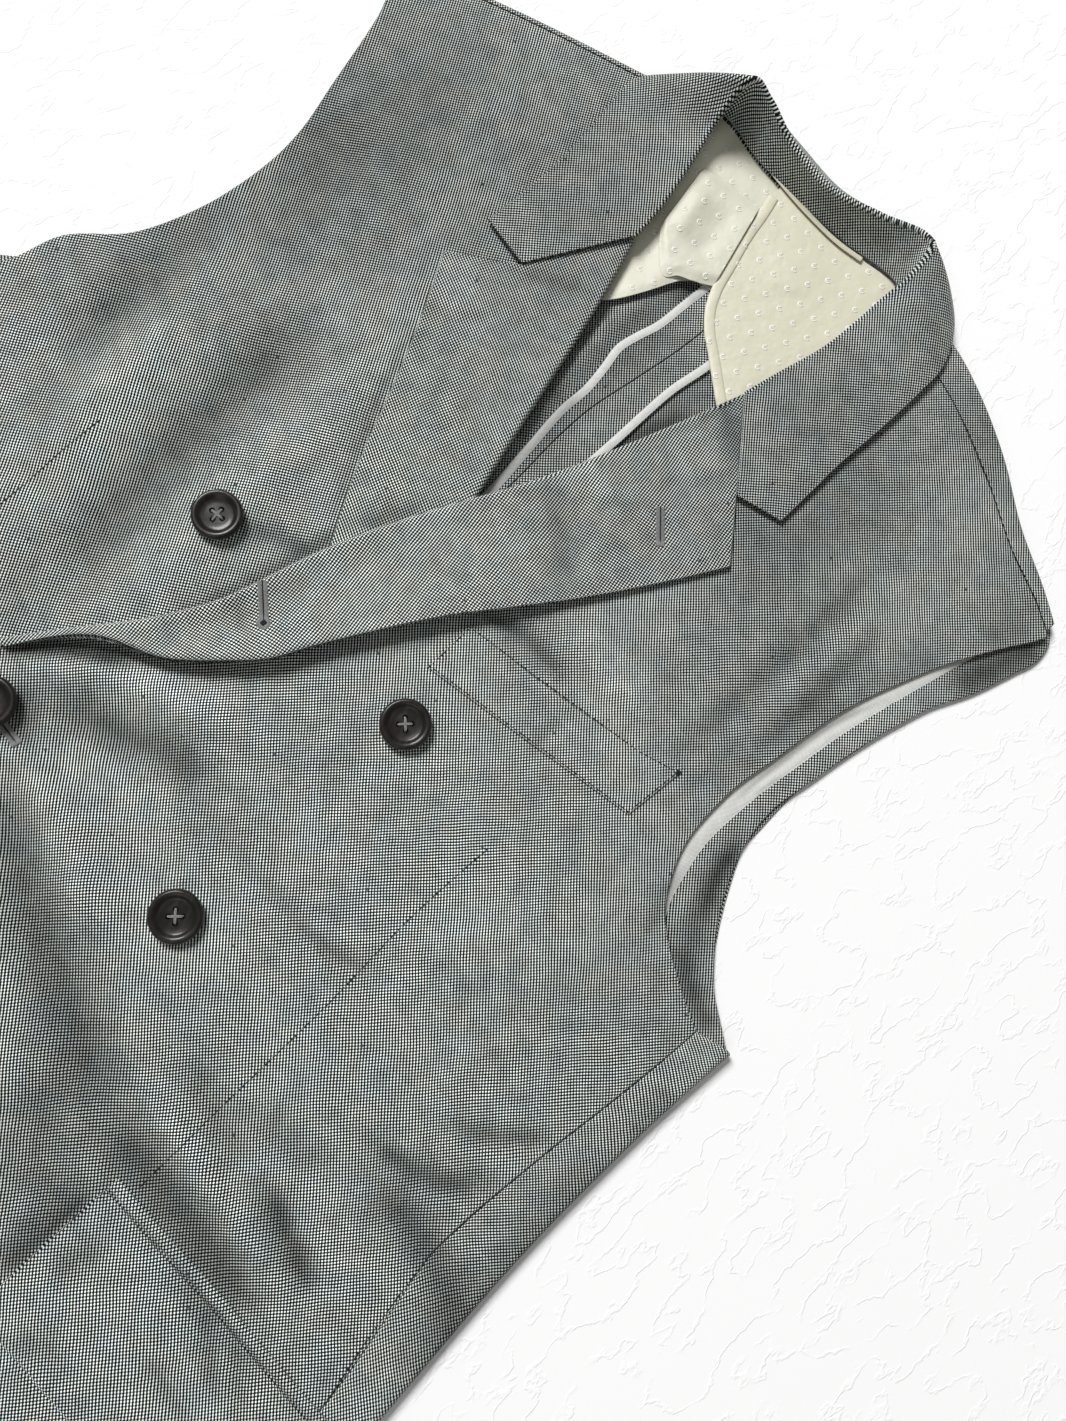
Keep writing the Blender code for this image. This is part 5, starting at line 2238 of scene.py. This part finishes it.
@dataclass
class Buttonhole:
    """A worked buttonhole: dark thread in the slit as painted shade of its opening, whip stitches along both
    sides and an eye or tack.
    """

    name: str
    line: Sequence[XY]
    surface: Surface
    lift: float
    eye: bool = True
    reach: float = 1.6
    gap: float = 0.52
    eye_radius: float = 1.9
    eye_centre: float = 0.8
    eye_shade: tuple[float, float] = (0.9, 0.8)
    tack_half: float = 1.9

    def build(self) -> list[Piece]:
        """Makes and dresses the stitches and the painted shade of the slit.

        Returns:
            The stitches, then the slit's painted shade.
        """
        line = soft_line(self.line, 0.6)
        surface, lift = self.surface, self.lift
        stitches = Stitching(f"{self.name}_stitches", GREY_THREAD, around=4)
        for side in (-1, 1):
            edge = offset_line(line, side * self.reach * 0.6)
            stitches.whip(edge, self.gap, self.reach * 0.5, surface, lift, lean=0.1, radius=0.25)
        # Painted shade: dark thread laid along the slit, and across the eye below, stands in for the shade
        # inside the opening.
        slit_shade = Stitching(f"{self.name}_slit", DARK_THREAD)
        spots = surface.on(line, lift + 0.12)
        for first, second in zip(spots, spots[1:]):
            slit_shade.add(first, second, radius=0.28)
        if self.eye:
            centre = line[-1] + unit(line[-1] - line[-2]) * self.eye_centre
            ring = centre + self.eye_radius * circle_points(np.linspace(0, 2 * math.pi, 13))
            stitches.whip(ring, self.gap, 0.8, surface, lift + 0.1, radius=0.26)
            half, rise = self.eye_shade
            for share in np.linspace(-rise, rise, 5):
                ends = np.array([centre + (-half, share), centre + (half, share)])
                slit_shade.add(*surface.on(ends, lift + 0.22), radius=0.35)
        else:
            across = offset_line(line, self.tack_half)[-1] - line[-1]
            tack = np.array([line[-1] - across, line[-1] + across])
            stitches.whip(tack, self.gap, 0.9, surface, lift + 0.15, radius=0.3)
        return [stitches.build(), slit_shade.build()]


# ------------ studio


@dataclass
class Studio:
    """The pale board, the soft lights and the camera."""

    board: PaleBoard = PaleBoard()
    board_size: float = 6.0
    ambient: float = 0.15
    ambient_colour: Colour = (1.0, 1.0, 0.98)
    camera_at: tuple[float, float, float] = (100.8, -33.4, 416.0)
    camera_right: tuple[float, float, float] = (0.6695, 0.7354, 0.1045)
    camera_up: tuple[float, float, float] = (-0.7417, 0.6543, 0.1478)
    lens: float = 27.03

    def build(self) -> None:
        """Makes the board, the lights, the surroundings and the camera."""
        self.lay_board()
        self.light("key", (-0.92, 0.22, 1.05), distance=8.0, size=2.8, power=735.0)
        self.light("fill", (0.3, -0.9, 0.9), distance=5.0, size=3.0, power=30.0)
        world = bpy.data.worlds.new("surroundings")
        world.use_nodes = True
        background = world.node_tree.nodes["Background"]
        background.inputs["Color"].default_value = (*self.ambient_colour, 1.0)
        background.inputs["Strength"].default_value = self.ambient
        bpy.context.scene.world = world
        bpy.context.scene.view_settings.view_transform = "Standard"
        self.place_camera()

    def lay_board(self) -> None:
        """The board that the coat lies on."""
        half = self.board_size / 2
        mesh = bpy.data.meshes.new("board")
        corners = [(-half, -half, 0), (half, -half, 0), (half, half, 0), (-half, half, 0)]
        mesh.from_pydata(corners, [], [(0, 1, 2, 3)])
        mesh.materials.append(self.board.material("board"))
        link_object("board", mesh)

    @staticmethod
    def light(name: str, toward: Sequence[float], distance: float, size: float, power: float) -> None:
        """Adds one square area light, which faces the coat's middle.

        Args:
            name: the light's name.
            toward: the direction in which it lies from the coat.
            distance: how far away it lies, in metres.
            size: the length of its side.
            power: its power in watts.
        """
        data = bpy.data.lights.new(name, "AREA")
        data.shape, data.size, data.energy = "SQUARE", size, power
        lamp = link_object(name, data)
        direction = Vector(toward).normalized()
        lamp.location = Vector((0.05, 0.05, 0.0)) + PLAN.shift + direction * distance
        lamp.rotation_euler = direction.to_track_quat("Z", "Y").to_euler()

    def place_camera(self) -> None:
        """The camera, close over the left breast, turned as the coat is seen."""
        data = bpy.data.cameras.new("camera")
        data.lens, data.sensor_width, data.clip_start = self.lens, 36.0, 0.01
        camera = link_object("camera", data)
        right, up = Vector(self.camera_right).normalized(), Vector(self.camera_up).normalized()
        turn = Matrix((right, up, right.cross(up))).transposed().to_4x4()
        camera.matrix_world = Matrix.Translation(Vector(self.camera_at) * MM + PLAN.shift) @ turn
        bpy.context.scene.camera = camera


# ------------ this coat's sizes, creases and painted shade and light


# The skirt below the hip, alike on both sides: y, then x of the front's seam, the fold and the back's seam.
SKIRT = (
    (-500, 232, 252, 198), (-420, 229, 249.5, 194), (-340, 226, 246, 190), (-260, 222, 241.5, 186),
    (-180, 217, 236, 181),
)
LAP_X = 75


def skirt_rows(piece: type[SidedPiece], side: Side) -> Rows:
    """The rows of one side's piece below the hip.

    Args:
        piece: the class of the piece.
        side: the side that it is on.

    Returns:
        The rows, in that class's own columns.
    """
    s, rows = side.value, []
    for y, seam, fold, back in SKIRT:
        rows.append({
            SidePanel: (s * seam, y, s * fold, y, s * back, y, 0),
            FrontPanel: (-s * LAP_X, y, s * seam, y, 0),
            BackHalf: (y, s * back, y, 0),
        }[piece])
    return tuple(rows)


FRONT_GRAIN = {Side.LEFT: 3.5, Side.RIGHT: -9.5}


NOTCH_LEFT = (74, 162)
NOTCH_RIGHT = (-57, 162.5)
# Seam on the front, folded side, seam on the back, each as x and y, then bow.
SIDE_LEFT = skirt_rows(SidePanel, Side.LEFT) + (
    (206, -110, 230.5, -110, 177, -110, 0), (207.5, -85, 229.5, -85, 176.5, -75, 0),
    (210, -60, 229.5, -58, 176.5, -40, -1), (213, -35, 230, -32, 177, -5, -3),
    (215.5, -10, 231.5, -6, 179, 30, -7), (216.5, 4, 232.5, 8, 180, 66, -11),
)
SIDE_RIGHT = skirt_rows(SidePanel, Side.RIGHT) + (
    (-208, -125, -231, -125, -177, -115, 0), (-207.5, -100, -230, -100, -176, -85, 0),
    (-209, -78, -229.5, -76, -174, -55, -1), (-211, -56, -229.5, -54, -171, -25, -3),
    (-214, -36, -230, -32, -166, 10, -7), (-215.5, -20, -231, -18, -162, 44, -9),
)
# Inner end and outer end, each as x and y, then the share of the shoulder seam's line.
FRONT_LEFT = skirt_rows(FrontPanel, Side.LEFT) + (
    (-75, -125, 206, -110, 0), (-69, -94, 207.5, -85, 0), (-53, -69, 210, -60, 0),
    (-36, -42, 213, -35, 0), (-26, -21, 215.5, -10, 0), (-22, -6, 216.5, 4, 0), (-19, 8, 200, 11, 0),
    (-15, 24, 176, 26, 0), (-8, 45, 163.5, 47, 0), (2, 70, 160, 74, 0), (14, 98, 163, 101, 0),
    (24, 128, 168, 136, 0.02), (34, 160, 177, 165, 0.08), (44, 196, 186, 188, 0.2),
    (58, 220, 196, 208, 0.5), (62, 246, 201, 217, 0.8), (67, 268, 204, 224, 1),
)
FRONT_RIGHT = skirt_rows(FrontPanel, Side.RIGHT) + (
    (75, -125, -208, -125, 0), (66, -98, -207.5, -100, 0), (57, -78, -209, -78, 0),
    (49, -54, -211, -56, 0), (42, -32, -214, -36, 0), (36, -13, -215.5, -20, 0), (31, 2, -199, -13, 0),
    (26, 17, -188, 4, 0), (20, 36, -183, 27, 0), (12, 62, -167.5, 49, 0), (2, 92, -159.5, 80, 0),
    (-8, 124, -158, 108, 0), (-18, 157, -162, 134, 0.03), (-27, 184, -171, 162, 0.1),
    (-36, 208, -178.5, 184, 0.3), (-55, 240, -186, 200, 0.7), (-63, 268, -196, 213, 1),
)
# Inner end's y, outer end's x and y, then the share of the top outline.
BACK_LEFT = skirt_rows(BackHalf, Side.LEFT) + (
    (-110, 177, -110, 0), (-75, 176.5, -75, 0), (-40, 176.5, -40, 0), (-5, 177, -5, 0),
    (30, 179, 30, 0), (66, 180, 66, 0), (105, 179, 97, 0), (145, 184, 130, 0.1), (180, 188, 152, 0.25),
    (206, 193, 169, 0.45), (230, 198, 185, 0.65), (252, 201, 205, 0.85), (274, 202, 222, 1),
)
BACK_RIGHT = skirt_rows(BackHalf, Side.RIGHT) + (
    (-110, -177, -115, 0), (-82, -176, -85, 0), (-52, -174, -55, 0), (-22, -171, -25, 0),
    (12, -166, 10, 0), (50, -162, 44, 0), (95, -156, 80, 0), (140, -155, 112, 0.1),
    (185, -162, 145, 0.3), (222, -172, 172, 0.6), (252, -184, 198, 0.85), (274, -196, 213, 1),
)
# Roll line and free edge, each as x and y, then the edge's lift and the roll's fullness.
LAPEL_LEFT = (
    (44, 196, 94, 139, 0, 0), (34, 160, 79, 110, 0.4, 0), (24, 128, 65.3, 85.8, 1.4, 0),
    (14, 98, 53.7, 66.6, 3.2, 0.2), (2, 70, 41.8, 47.8, 4.6, 0.6), (-8, 45, 29.6, 26.4, 5.4, 1),
    (-15, 24, 19.9, 8.1, 5.4, 1.6), (-19, 8, 11.3, -9.4, 5.4, 2.2), (-22, -6, 5.4, -22.5, 5.6, 2.8),
    (-26, -21, -6.2, -37.2, 5.6, 3.2), (-36, -42, -20.8, -51.7, 5, 3.2), (-53, -69, -45, -66, 3.5, 2.2),
    (-69, -94, -64, -92, 0, 0.2),
)
LAPEL_RIGHT = (
    (-36, 208, -82, 141, 0, 0), (-27, 184, -73, 126, 0, 0), (-18, 157, -61, 105, 0, 0.3),
    (-8, 124, -48, 80, 0.5, 0.5), (2, 92, -36, 56, 1, 0.5), (12, 62, -22, 32, 1, 0.4),
    (20, 36, -10, 13, 0.5, 0.3), (26, 17, -1, -2, 0, 0), (31, 2, 8, -15, 0, 0),
    (36, -13, 17, -28, 0, 0), (42, -32, 27, -44, 0, 0), (49, -54, 38, -62, 0, 0),
    (57, -78, 50, -82, 0, 0),
)
# Neck seam, roll and outer edge, each as x, y and z, then how far the fall bellies.
COLLAR = (
    (47.6, 195.2, 8.4, 43.8, 194.4, 11.2, 94, 169, 9.6, 0),
    (54, 214, 7.6, 47, 213, 11, 93.5, 181, 9.4, 0), (60, 236, 7, 51, 234, 11.4, 92.5, 205, 9.2, 0),
    (64, 257, 6.8, 52, 255, 12.4, 93, 232, 8.8, 0.5), (65, 272, 6.6, 52, 271, 14, 92.5, 253, 8.8, 1),
    (60, 281.5, 6.4, 53, 282, 19, 91, 270, 8.6, 1), (52, 284, 5.8, 51, 295, 21, 85, 283, 8, 1.5),
    (41, 284, 5.4, 44, 298.8, 22, 66, 301, 5.4, 2), (24, 280.5, 5, 25, 290, 21, 34, 303, 2, 2),
    (4, 278.5, 5, 2.5, 282, 20, 5, 297.5, 1.6, 2),
    (-18, 277.2, 5, -20, 282.5, 21.5, -24, 297.5, 1.6, 2),
    (-36, 277.8, 5.2, -39, 285, 27, -62, 287, 5.6, 2),
    (-52, 280.5, 5.8, -49, 282.5, 31, -83, 270, 8.2, 1.5),
    (-57, 276.5, 6.4, -51.5, 277.5, 24, -90, 256, 8.8, 1),
    (-60, 267, 6.6, -50.5, 268, 15, -88.5, 243, 8.6, 1),
    (-55, 251, 6.8, -45.5, 252, 12.4, -85, 225, 8.6, 0.5),
    (-47, 231, 6.9, -39.5, 231, 11.2, -82, 204, 8.6, 0),
    (-41, 208, 7, -35.4, 206.6, 10.2, -81, 165, 8.3, 0),
)
LINING_LEFT_HEM = (
    (-14.5, 270), (-12, 262), (-8.5, 248), (-3.5, 233), (1, 220), (5.5, 212), (12, 205), (22, 198),
    (32, 191), (45, 182), (70, 168), (110, 150), (150, 138),
)
LINING_RIGHT_HEM = (
    (12, 226), (6, 222), (0, 219.5), (-7, 217), (-11, 212), (-13, 207), (-15, 201), (-19, 191),
    (-25, 181), (-50, 162), (-90, 142), (-135, 128),
)
ARMHOLE_LEFT = (
    (230, 8.5), (221, 14), (212, 19.5), (202, 29), (193, 40), (185, 54), (179.5, 68), (177, 86),
    (179.5, 105), (183.3, 130), (187.5, 149), (192, 165), (200, 183), (206, 203), (209, 214),
    (207, 224), (201, 230),
)
ARMHOLE_BOUND = (
    (222, 1), (212, 4), (196, 10), (184, 18), (176, 29), (171.6, 42), (168.6, 56), (168.4, 73),
    (169.4, 87), (171.8, 107), (174.6, 128), (179.5, 152), (185, 176), (191, 200), (194, 212),
    (195, 220), (195, 226),
)
FOLD_TOP = (
    (-42.1, 255.6), (-34, 258.5), (-24, 260.5), (-13.1, 262.1),
)
FOLD_FOOT = (
    (-34, 222), (-27.3, 214.4), (-15.7, 207.6), (-13.5, 211), (-8, 214.5), (0.3, 221),
)
FOLD_RELIEF = strokes(
    (5, 1.6, 0, -34, 250, -27, 222),
    (5, -0.8, 0, -20, 252, -14, 222),
    (3, 0.8, 0, -16, 210, -4, 218),
)
RIGHT_BOUND_EDGE = (
    (-5, 268), (-3.8, 222), (-4.2, 205), (-4.6, 191), (-6.5, 182), (-7.8, 172), (-5.2, 160),
    (-3.1, 148), (-3, 136.6), (0.4, 113), (4, 90), (4, 0), (-3, -120), (-2.5, -498),
)
LEFT_BOUND_EDGE = (
    (25, 268), (26, 220), (26, 195), (24, 175), (24.2, 161), (24.8, 146), (25.2, 128), (26, 80),
    (25, 0), (23, -120), (22, -498),
)
CENTRE_SEAM = (
    (11, 268), (11.5, 207), (11, 190), (8.5, 166), (6, 143), (6.5, 125), (9, 100), (10, 60), (7, -60),
    (7, -498),
)
# The left front's creases, row by row: half width, crease height, painted shade, then the line's x and y by
# turns. The painted shade darkens hollows, the side, the shade under the lapel and beside the flap, and the
# side away from the light; above 0 it is painted light on ridges.
LEFT_CREASES = strokes(
    (34, 0, -0.15, 165, 150, 162, 80, 180, 20, 182, -50),
    (30, 0, 0.08, 95, 20, 98, -40, 108, -100),
    (15, 0, -0.4, 232, -30, 231, -90, 233, -170),
    (18, 0, -0.18, 150, 242, 190, 214, 200, 190),
    (13, 0, -0.2, 187, 190, 172, 150, 163, 110),
    (4.4, -0.7, -0.85, -67, -98, -54, -82, -42, -71, -24, -58),
    (12, -4.4, -0.52, -34, -116, 0, -138, 25, -149, 50, -158, 78, -167, 104, -172),
    (10.5, -2.6, -0.6, 84, -171, 112, -175, 138, -175, 160, -178, 186, -184),
    (16, -2.4, -0.36, 60, -180, 84, -195, 99, -215),
    (42, 0, -0.13, 110, 240, 92, 180, 88, 110),
    (5, 0, -0.4, 102, -190, 102, -236),
    (24, 0, 0.1, 116, -205, 160, -206),
    (11, 3.4, 0.16, -28, -112, 10, -124, 48, -130),
    (5, 2.2, 0.16, 95, -155, 130, -160, 172, -168),
    (6, -1.9, -0.3, 95, -138, 118, -144, 140, -152),
    (5, -2.3, -0.68, 146, -146, 168, -154, 190, -160),
    (7.5, -2.8, -0.55, 172, -121, 203, -121, 222, -127, 232, -141),
    (4.2, -2.2, -0.55, 158, -110, 182, -106, 194, -100, 204, -88),
    (3.8, -1.6, -0.42, 178, -87, 196, -74, 209, -61),
    (5, -1.3, -0.26, 124, -132, 146, -130, 164, -125),
    (2.6, -1, -0.42, 82, -79, 103, -76, 120, -70),
    (3, -0.8, -0.16, 30, -74, 60, -79, 92, -77),
    (8, -3.2, -0.55, -44, -92, -30, -89, -10, -82, 8, -73, 32, -77),
    (6.5, 3, 0.4, -60, -98, -38, -74, -12, -60, 22, -44),
    (7, -1.5, -0.5, -52, -97, -38, -104, -28, -112),
    (4, -0.7, -0.12, 137, -47, 155, -50),
    (5, -0.7, -0.12, 166, -58, 180, -62),
    (7, -0.8, -0.1, 52, -10, 54, -42),
    (4, -1, -0.3, 226, -18, 225, -44),
    (5.5, -1.8, -0.26, 137, 190, 138, 120, 137, 60),
    (4.5, -1.5, -0.3, 157, 172, 157, 130, 156, 92),
    (4, -0.9, -0.12, 150, 98, 149, 50),
    (4.5, 0.7, 0, 147, 172, 148, 110),
    (4, -1.6, -0.5, 38, 48, 60, 57, 88, 57),
    (5, 1.4, 0.12, 64, 72, 95, 71, 122, 73),
    (7, -1, -0.14, 88, 90, 125, 92),
    (3.2, -0.8, -0.2, 94, 54, 95, 27),
    (4, -0.8, -0.14, 101, 259, 140, 254, 162, 245, 184, 233),
    (8, -1, -0.2, 198, 222, 188, 200),
    (6, -1.3, 0, 207, 222, 186, 185, 173, 150, 161, 100, 160, 70, 166, 42, 178, 22, 194, 12),
    (9, 0, -0.28, 92, 277, 140, 263, 204, 230),
    (3.2, -0.6, -0.25, 170, 38, 178, 12),
    (2.8, 0, -0.7, 107, -186, 107, -236),
    (2.8, -0.8, -0.35, 160, -187, 176, -196, 190, -205),
    (2.5, -0.7, -0.25, 178, -187, 200, -202),
    (3, -0.9, -0.3, 160, -212, 187, -216),
    (6, -1, -0.2, 128, -243, 142, -230),
    (5, -0.8, -0.3, 128, -196, 117, -218),
    (30, 4, 0, 0, -320, 70, -342, 140, -360),
    (26, -3.2, 0, -30, -390, 60, -410, 160, -455),
    (22, 3.2, 0, 150, -260, 190, -310, 205, -390),
)
# The right front's creases, in the same columns, with painted shade in hollows and away from the light and
# painted light on ridges.
RIGHT_CREASES = strokes(
    (13.5, -3.6, -0.48, -91, 90, -90, 40, -85, 0, -77, -40, -68, -72),
    (9, -0.4, -0.16, -145, 40, -134, -10, -118, -40),
    (10, 0, -0.2, -92, -62, -68, -94),
    (3.6, -0.4, -0.5, -12, 56, -19, 28, -23, 4, -28, -20, -37, -46),
    (13, 2.6, 0.05, -124, 48, -121, 0, -112, -48),
    (11, 2.2, 0.06, -60, 96, -56, 40, -50, -10, -47, -54),
    (22, -3, -0.3, -150, 160, -135, 110, -112, 70),
    (12, -2.2, -0.3, -154, 100, -148, 40, -142, -10),
    (4.5, -1.4, -0.45, -46, 4, -30, 12, -18, 18),
    (2.2, -0.3, -0.3, -66, 110, -45, 68, -21, 26),
    (14, 1.4, 0.05, -110, 215, -125, 188),
    (45, 0, -0.24, -200, 148, -115, 186),
    (34, 0, -0.13, -175, 45, -135, 25),
    (12, -1.2, -0.12, -102, 132, -95, 96),
    (26, 3.4, 0, -190, -290, -150, -330, -110, -370),
    (13, -3, 0, -210, -110, -150, -150, -90, -165),
    (11, 1.8, 0, -205, -90, -150, -126, -100, -140),
    (24, -3, 0, -80, -400, -150, -440, -200, -450),
)
# The lapels' creases, in the same columns: painted shade in hollows, at the gorge and along the left lapel's
# free edge, and painted light on ridges.
LEFT_LAPEL_RELIEF = strokes(
    (7, -1.8, -0.2, 20, 108, 40, 98, 60, 78),
    (6, 1.4, 0.14, 22, 120, 45, 118),
    (4.2, -1, -0.3, 38, 187, 54, 180, 70, 170),
    (8, 1, 0.16, 40, 168, 64, 157),
    (16, 0, -0.06, 2, 62, 20, 40, 34, 22),
    (3, -1, -0.25, -24, -15, -6, -25),
    (1.8, 0, -0.5, 30, 26, 20, 8, 11, -10, 5, -23, -6, -37, -21, -52, -45, -66, -64, -92),
)
RIGHT_LAPEL_RELIEF = strokes(
    (3.5, -0.8, -0.28, -56, 159, -42, 166, -30, 175),
    (10, 1.4, 0.16, -76, 146, -50, 128),
    (4, -0.6, -0.2, -76, 158, -62, 152),
    (4.5, -0.4, -0.4, -17, 34, -3, 64),
)
# Painted shade on the collar, in the same columns: along the fall's outer edges and at its upper right end.
COLLAR_SHADES = strokes(
    (6, 0, -0.12, 52, 203, 82, 206),
    (3, 0, -0.2, -92, 252, -82, 200),
    (14, 0, -0.25, -96, 262, -62, 288),
)
# Painted shade on the back, in the same columns: inside the V between the lapels and along the shoulder.
BACK_SHADES = strokes(
    (26, 0, -0.32, 8, 215, 8, 150, 9, 90),
    (5, 0, -0.6, 36, 178, 30, 160, 24, 130),
    (7, 0, -0.6, -12, 214, -2, 210),
    (12, 0, -0.25, 92, 275, 140, 262, 204, 230),
)
# Painted shade on the centre back allowances in the V, with a little painted light on a low ridge.
ALLOWANCE_SHADES = strokes(
    (9, 0, -0.4, -4, 215, -5, 150, 2, 90),
    (24, 0, -0.3, 10, 215, 9, 150, 9, 90),
    (2.5, 0.5, 0.1, 14, 200, 12, 160, 16, 120),
)
# Armhole creases, in the same columns, with painted shade on the facing and binding at the shoulder end, the
# underarm and under the front's edge.
ARMHOLE_CREASES = strokes(
    (9, -0.6, -0.7, 206, 226, 197, 196, 190, 172),
    (3.2, -0.9, -0.6, 177, 70, 181, 50, 190, 34),
    (8, 0, -0.75, 160, 44, 166, 29, 176, 15, 192, 5),
    (8, 0, -0.5, 178, 74, 181, 50, 189, 31, 202, 18),
    (5.5, -0.4, -0.65, 188, 24, 206, 13, 226, 8),
    (1.7, -0.8, -0.3, 164, 72, 166, 100, 170, 130, 177, 152),
    (1.3, 0.5, 0, 166, 84, 168, 98),
)


def build_body(left: Surface, right: Surface, inside: Surface) -> None:
    """The back with its centre seam, the side panels and the fronts.

    Args:
        left: the left front's middle.
        right: the right front's middle.
        inside: the middle of the centre back seam allowances.
    """
    ridge = strokes((4.2, 2.2, 0.25, -11, 214, -14.5, 190, -14.5, 170, -11, 144, -6.5, 120, 0, 90))
    for side, rows, edge in (
        (Side.LEFT, BACK_LEFT, LEFT_BOUND_EDGE), (Side.RIGHT, BACK_RIGHT, RIGHT_BOUND_EDGE),
    ):
        seam = CentreBackSeam(side, edge, CENTRE_SEAM, inside).build()
        BackHalf(side, rows, ridge, BACK_SHADES, grain=2.0).build(seam)
    SidePanel(Side.LEFT, SIDE_LEFT, left, grain=6.0).build()
    SidePanel(Side.RIGHT, SIDE_RIGHT, right, grain=-6.0).build()
    for side, rows, surface, roll_rows in (
        (Side.RIGHT, FRONT_RIGHT, right, (7, 20)), (Side.LEFT, FRONT_LEFT, left, (6, 19)),
    ):
        FrontPanel(side, rows, surface, roll_rows, underarm_row=10, grain=FRONT_GRAIN[side]).build()


def build_lining() -> None:
    """The half lining of the shoulders, with its fold, piping and hanger loop."""
    under = Surface(LAYERS.lining_right, strokes((7, 1.5, 0, -24, 182, -18, 205, -30, 235)))
    fold = LiningFold(FOLD_TOP, FOLD_FOOT, Surface(4.6, FOLD_RELIEF)).build()
    # Painted light on the right lining where the collar's roll shades it.
    lit = strokes((6, 0, 0.4, -53, 281, -47, 262, -42, 245, -38, 228))
    HalfLining(Side.RIGHT, LINING_RIGHT_HEM, under, SATIN, lit).build([fold])
    over = Surface(LAYERS.lining_left, strokes((12, 0.8, 0, 10, 262, 22, 240)))
    piping = EdgePiping(LINING_LEFT_HEM[:10], over, WARM_SATIN).build()
    HalfLining(Side.LEFT, LINING_LEFT_HEM, over, WARM_SATIN).build([piping, HangerLoop().build()])


def build_details(left: Surface, right: Surface, inside: Surface, leaf: Array) -> None:
    """Pockets, seam lines, buttonholes and buttons.

    Args:
        left: the left front's middle.
        right: the right front's middle.
        inside: the middle of the centre back seam allowances.
        leaf: the points of the left lapel that show.
    """
    welt = ((44.2, 19.8), (138.8, 40.1), (140.9, 67.5), (42.9, 43.8))
    BreastPocket(welt, (123.5, 61.0), left, FRONT_GRAIN[Side.LEFT]).build()
    for front, surface in ((Side.LEFT, left), (Side.RIGHT, right)):
        HipPocket(front, surface, FRONT_GRAIN[front]).build()
    hip_y = -190
    dart = ((112, -8), (111.5, -45), (114.5, -90), (116, -140), (117.5, -180))
    side = [(x, y) for _, _, x, y, _ in FRONT_LEFT if hip_y < y < 0]
    shoulder = [(x, float(TOP_EDGE.seam_y(np.array(x)))) for x in (90, 115, 140, 165, 190, 203)]
    SeamLine("seams_left", [dart, side, shoulder], left).build()
    SeamLine("seam_back", [CENTRE_SEAM[1:9]], inside, 1.5, 1.1, 0.28, LAYERS.cloth / 2 + 0.1).build()
    SeamLine("darts_right", [((-112, -10), (-110, -60), (-108, -179))], right).build()
    traced, top = TracedSurface(0.0, (), leaf), LAYERS.lapel / 2 + 0.02
    Buttonhole("buttonhole_upper", ((57, 134), (68.2, 123.2)), traced, top, eye=False).build()
    Buttonhole("buttonhole_middle", ((-20.6, -5.3), (-8.5, -15)), traced, top).build()
    waist = LAYERS.cloth / 2 + 0.1
    Buttonhole("buttonhole_waist", ((-58, -110), (-34, -112)), left, waist, eye=False).build()
    blank = ButtonBlank()
    body = blank.mesh()
    for name, x, y, surface, turn in (
        ("chest_right", -53, -1, right, 0.95), ("chest_left", 56, -1, left, 0.1),
        ("waist_left", 54, -109, left, 0.05), ("waist_right", -51, -109, left, 0.4),
    ):
        Button(f"button_{name}", x, y, surface, turn).build(blank, body)


def main() -> None:
    """Builds the coat piece by piece and lights it."""
    logging.basicConfig(level=logging.INFO, format="%(name)s: %(message)s")
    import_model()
    PLAN.settle()
    left = LappedSurface(LAYERS.front, LEFT_CREASES)
    right = UnderSurface(LAYERS.front, RIGHT_CREASES, left)
    inside = Surface(LAYERS.allowance, ALLOWANCE_SHADES)
    build_body(left, right, inside)
    relief = Surface(0.0, RIGHT_LAPEL_RELIEF)
    Lapel(Side.RIGHT, LAPEL_RIGHT, NOTCH_RIGHT, right, relief, grain=27.0).build()
    relief = Surface(0.0, LEFT_LAPEL_RELIEF)
    lapel = Lapel(Side.LEFT, LAPEL_LEFT, NOTCH_LEFT, left, relief, grain=-29.5)
    lapel.build()
    Collar(COLLAR, (NOTCH_LEFT, NOTCH_RIGHT), COLLAR_SHADES).build()
    ArmholeEdge(ARMHOLE_LEFT, ARMHOLE_BOUND, ARMHOLE_CREASES).build()
    build_lining()
    build_details(left, right, inside, lapel.leaf())
    Studio().build()


if __name__ == "__main__":
    main()
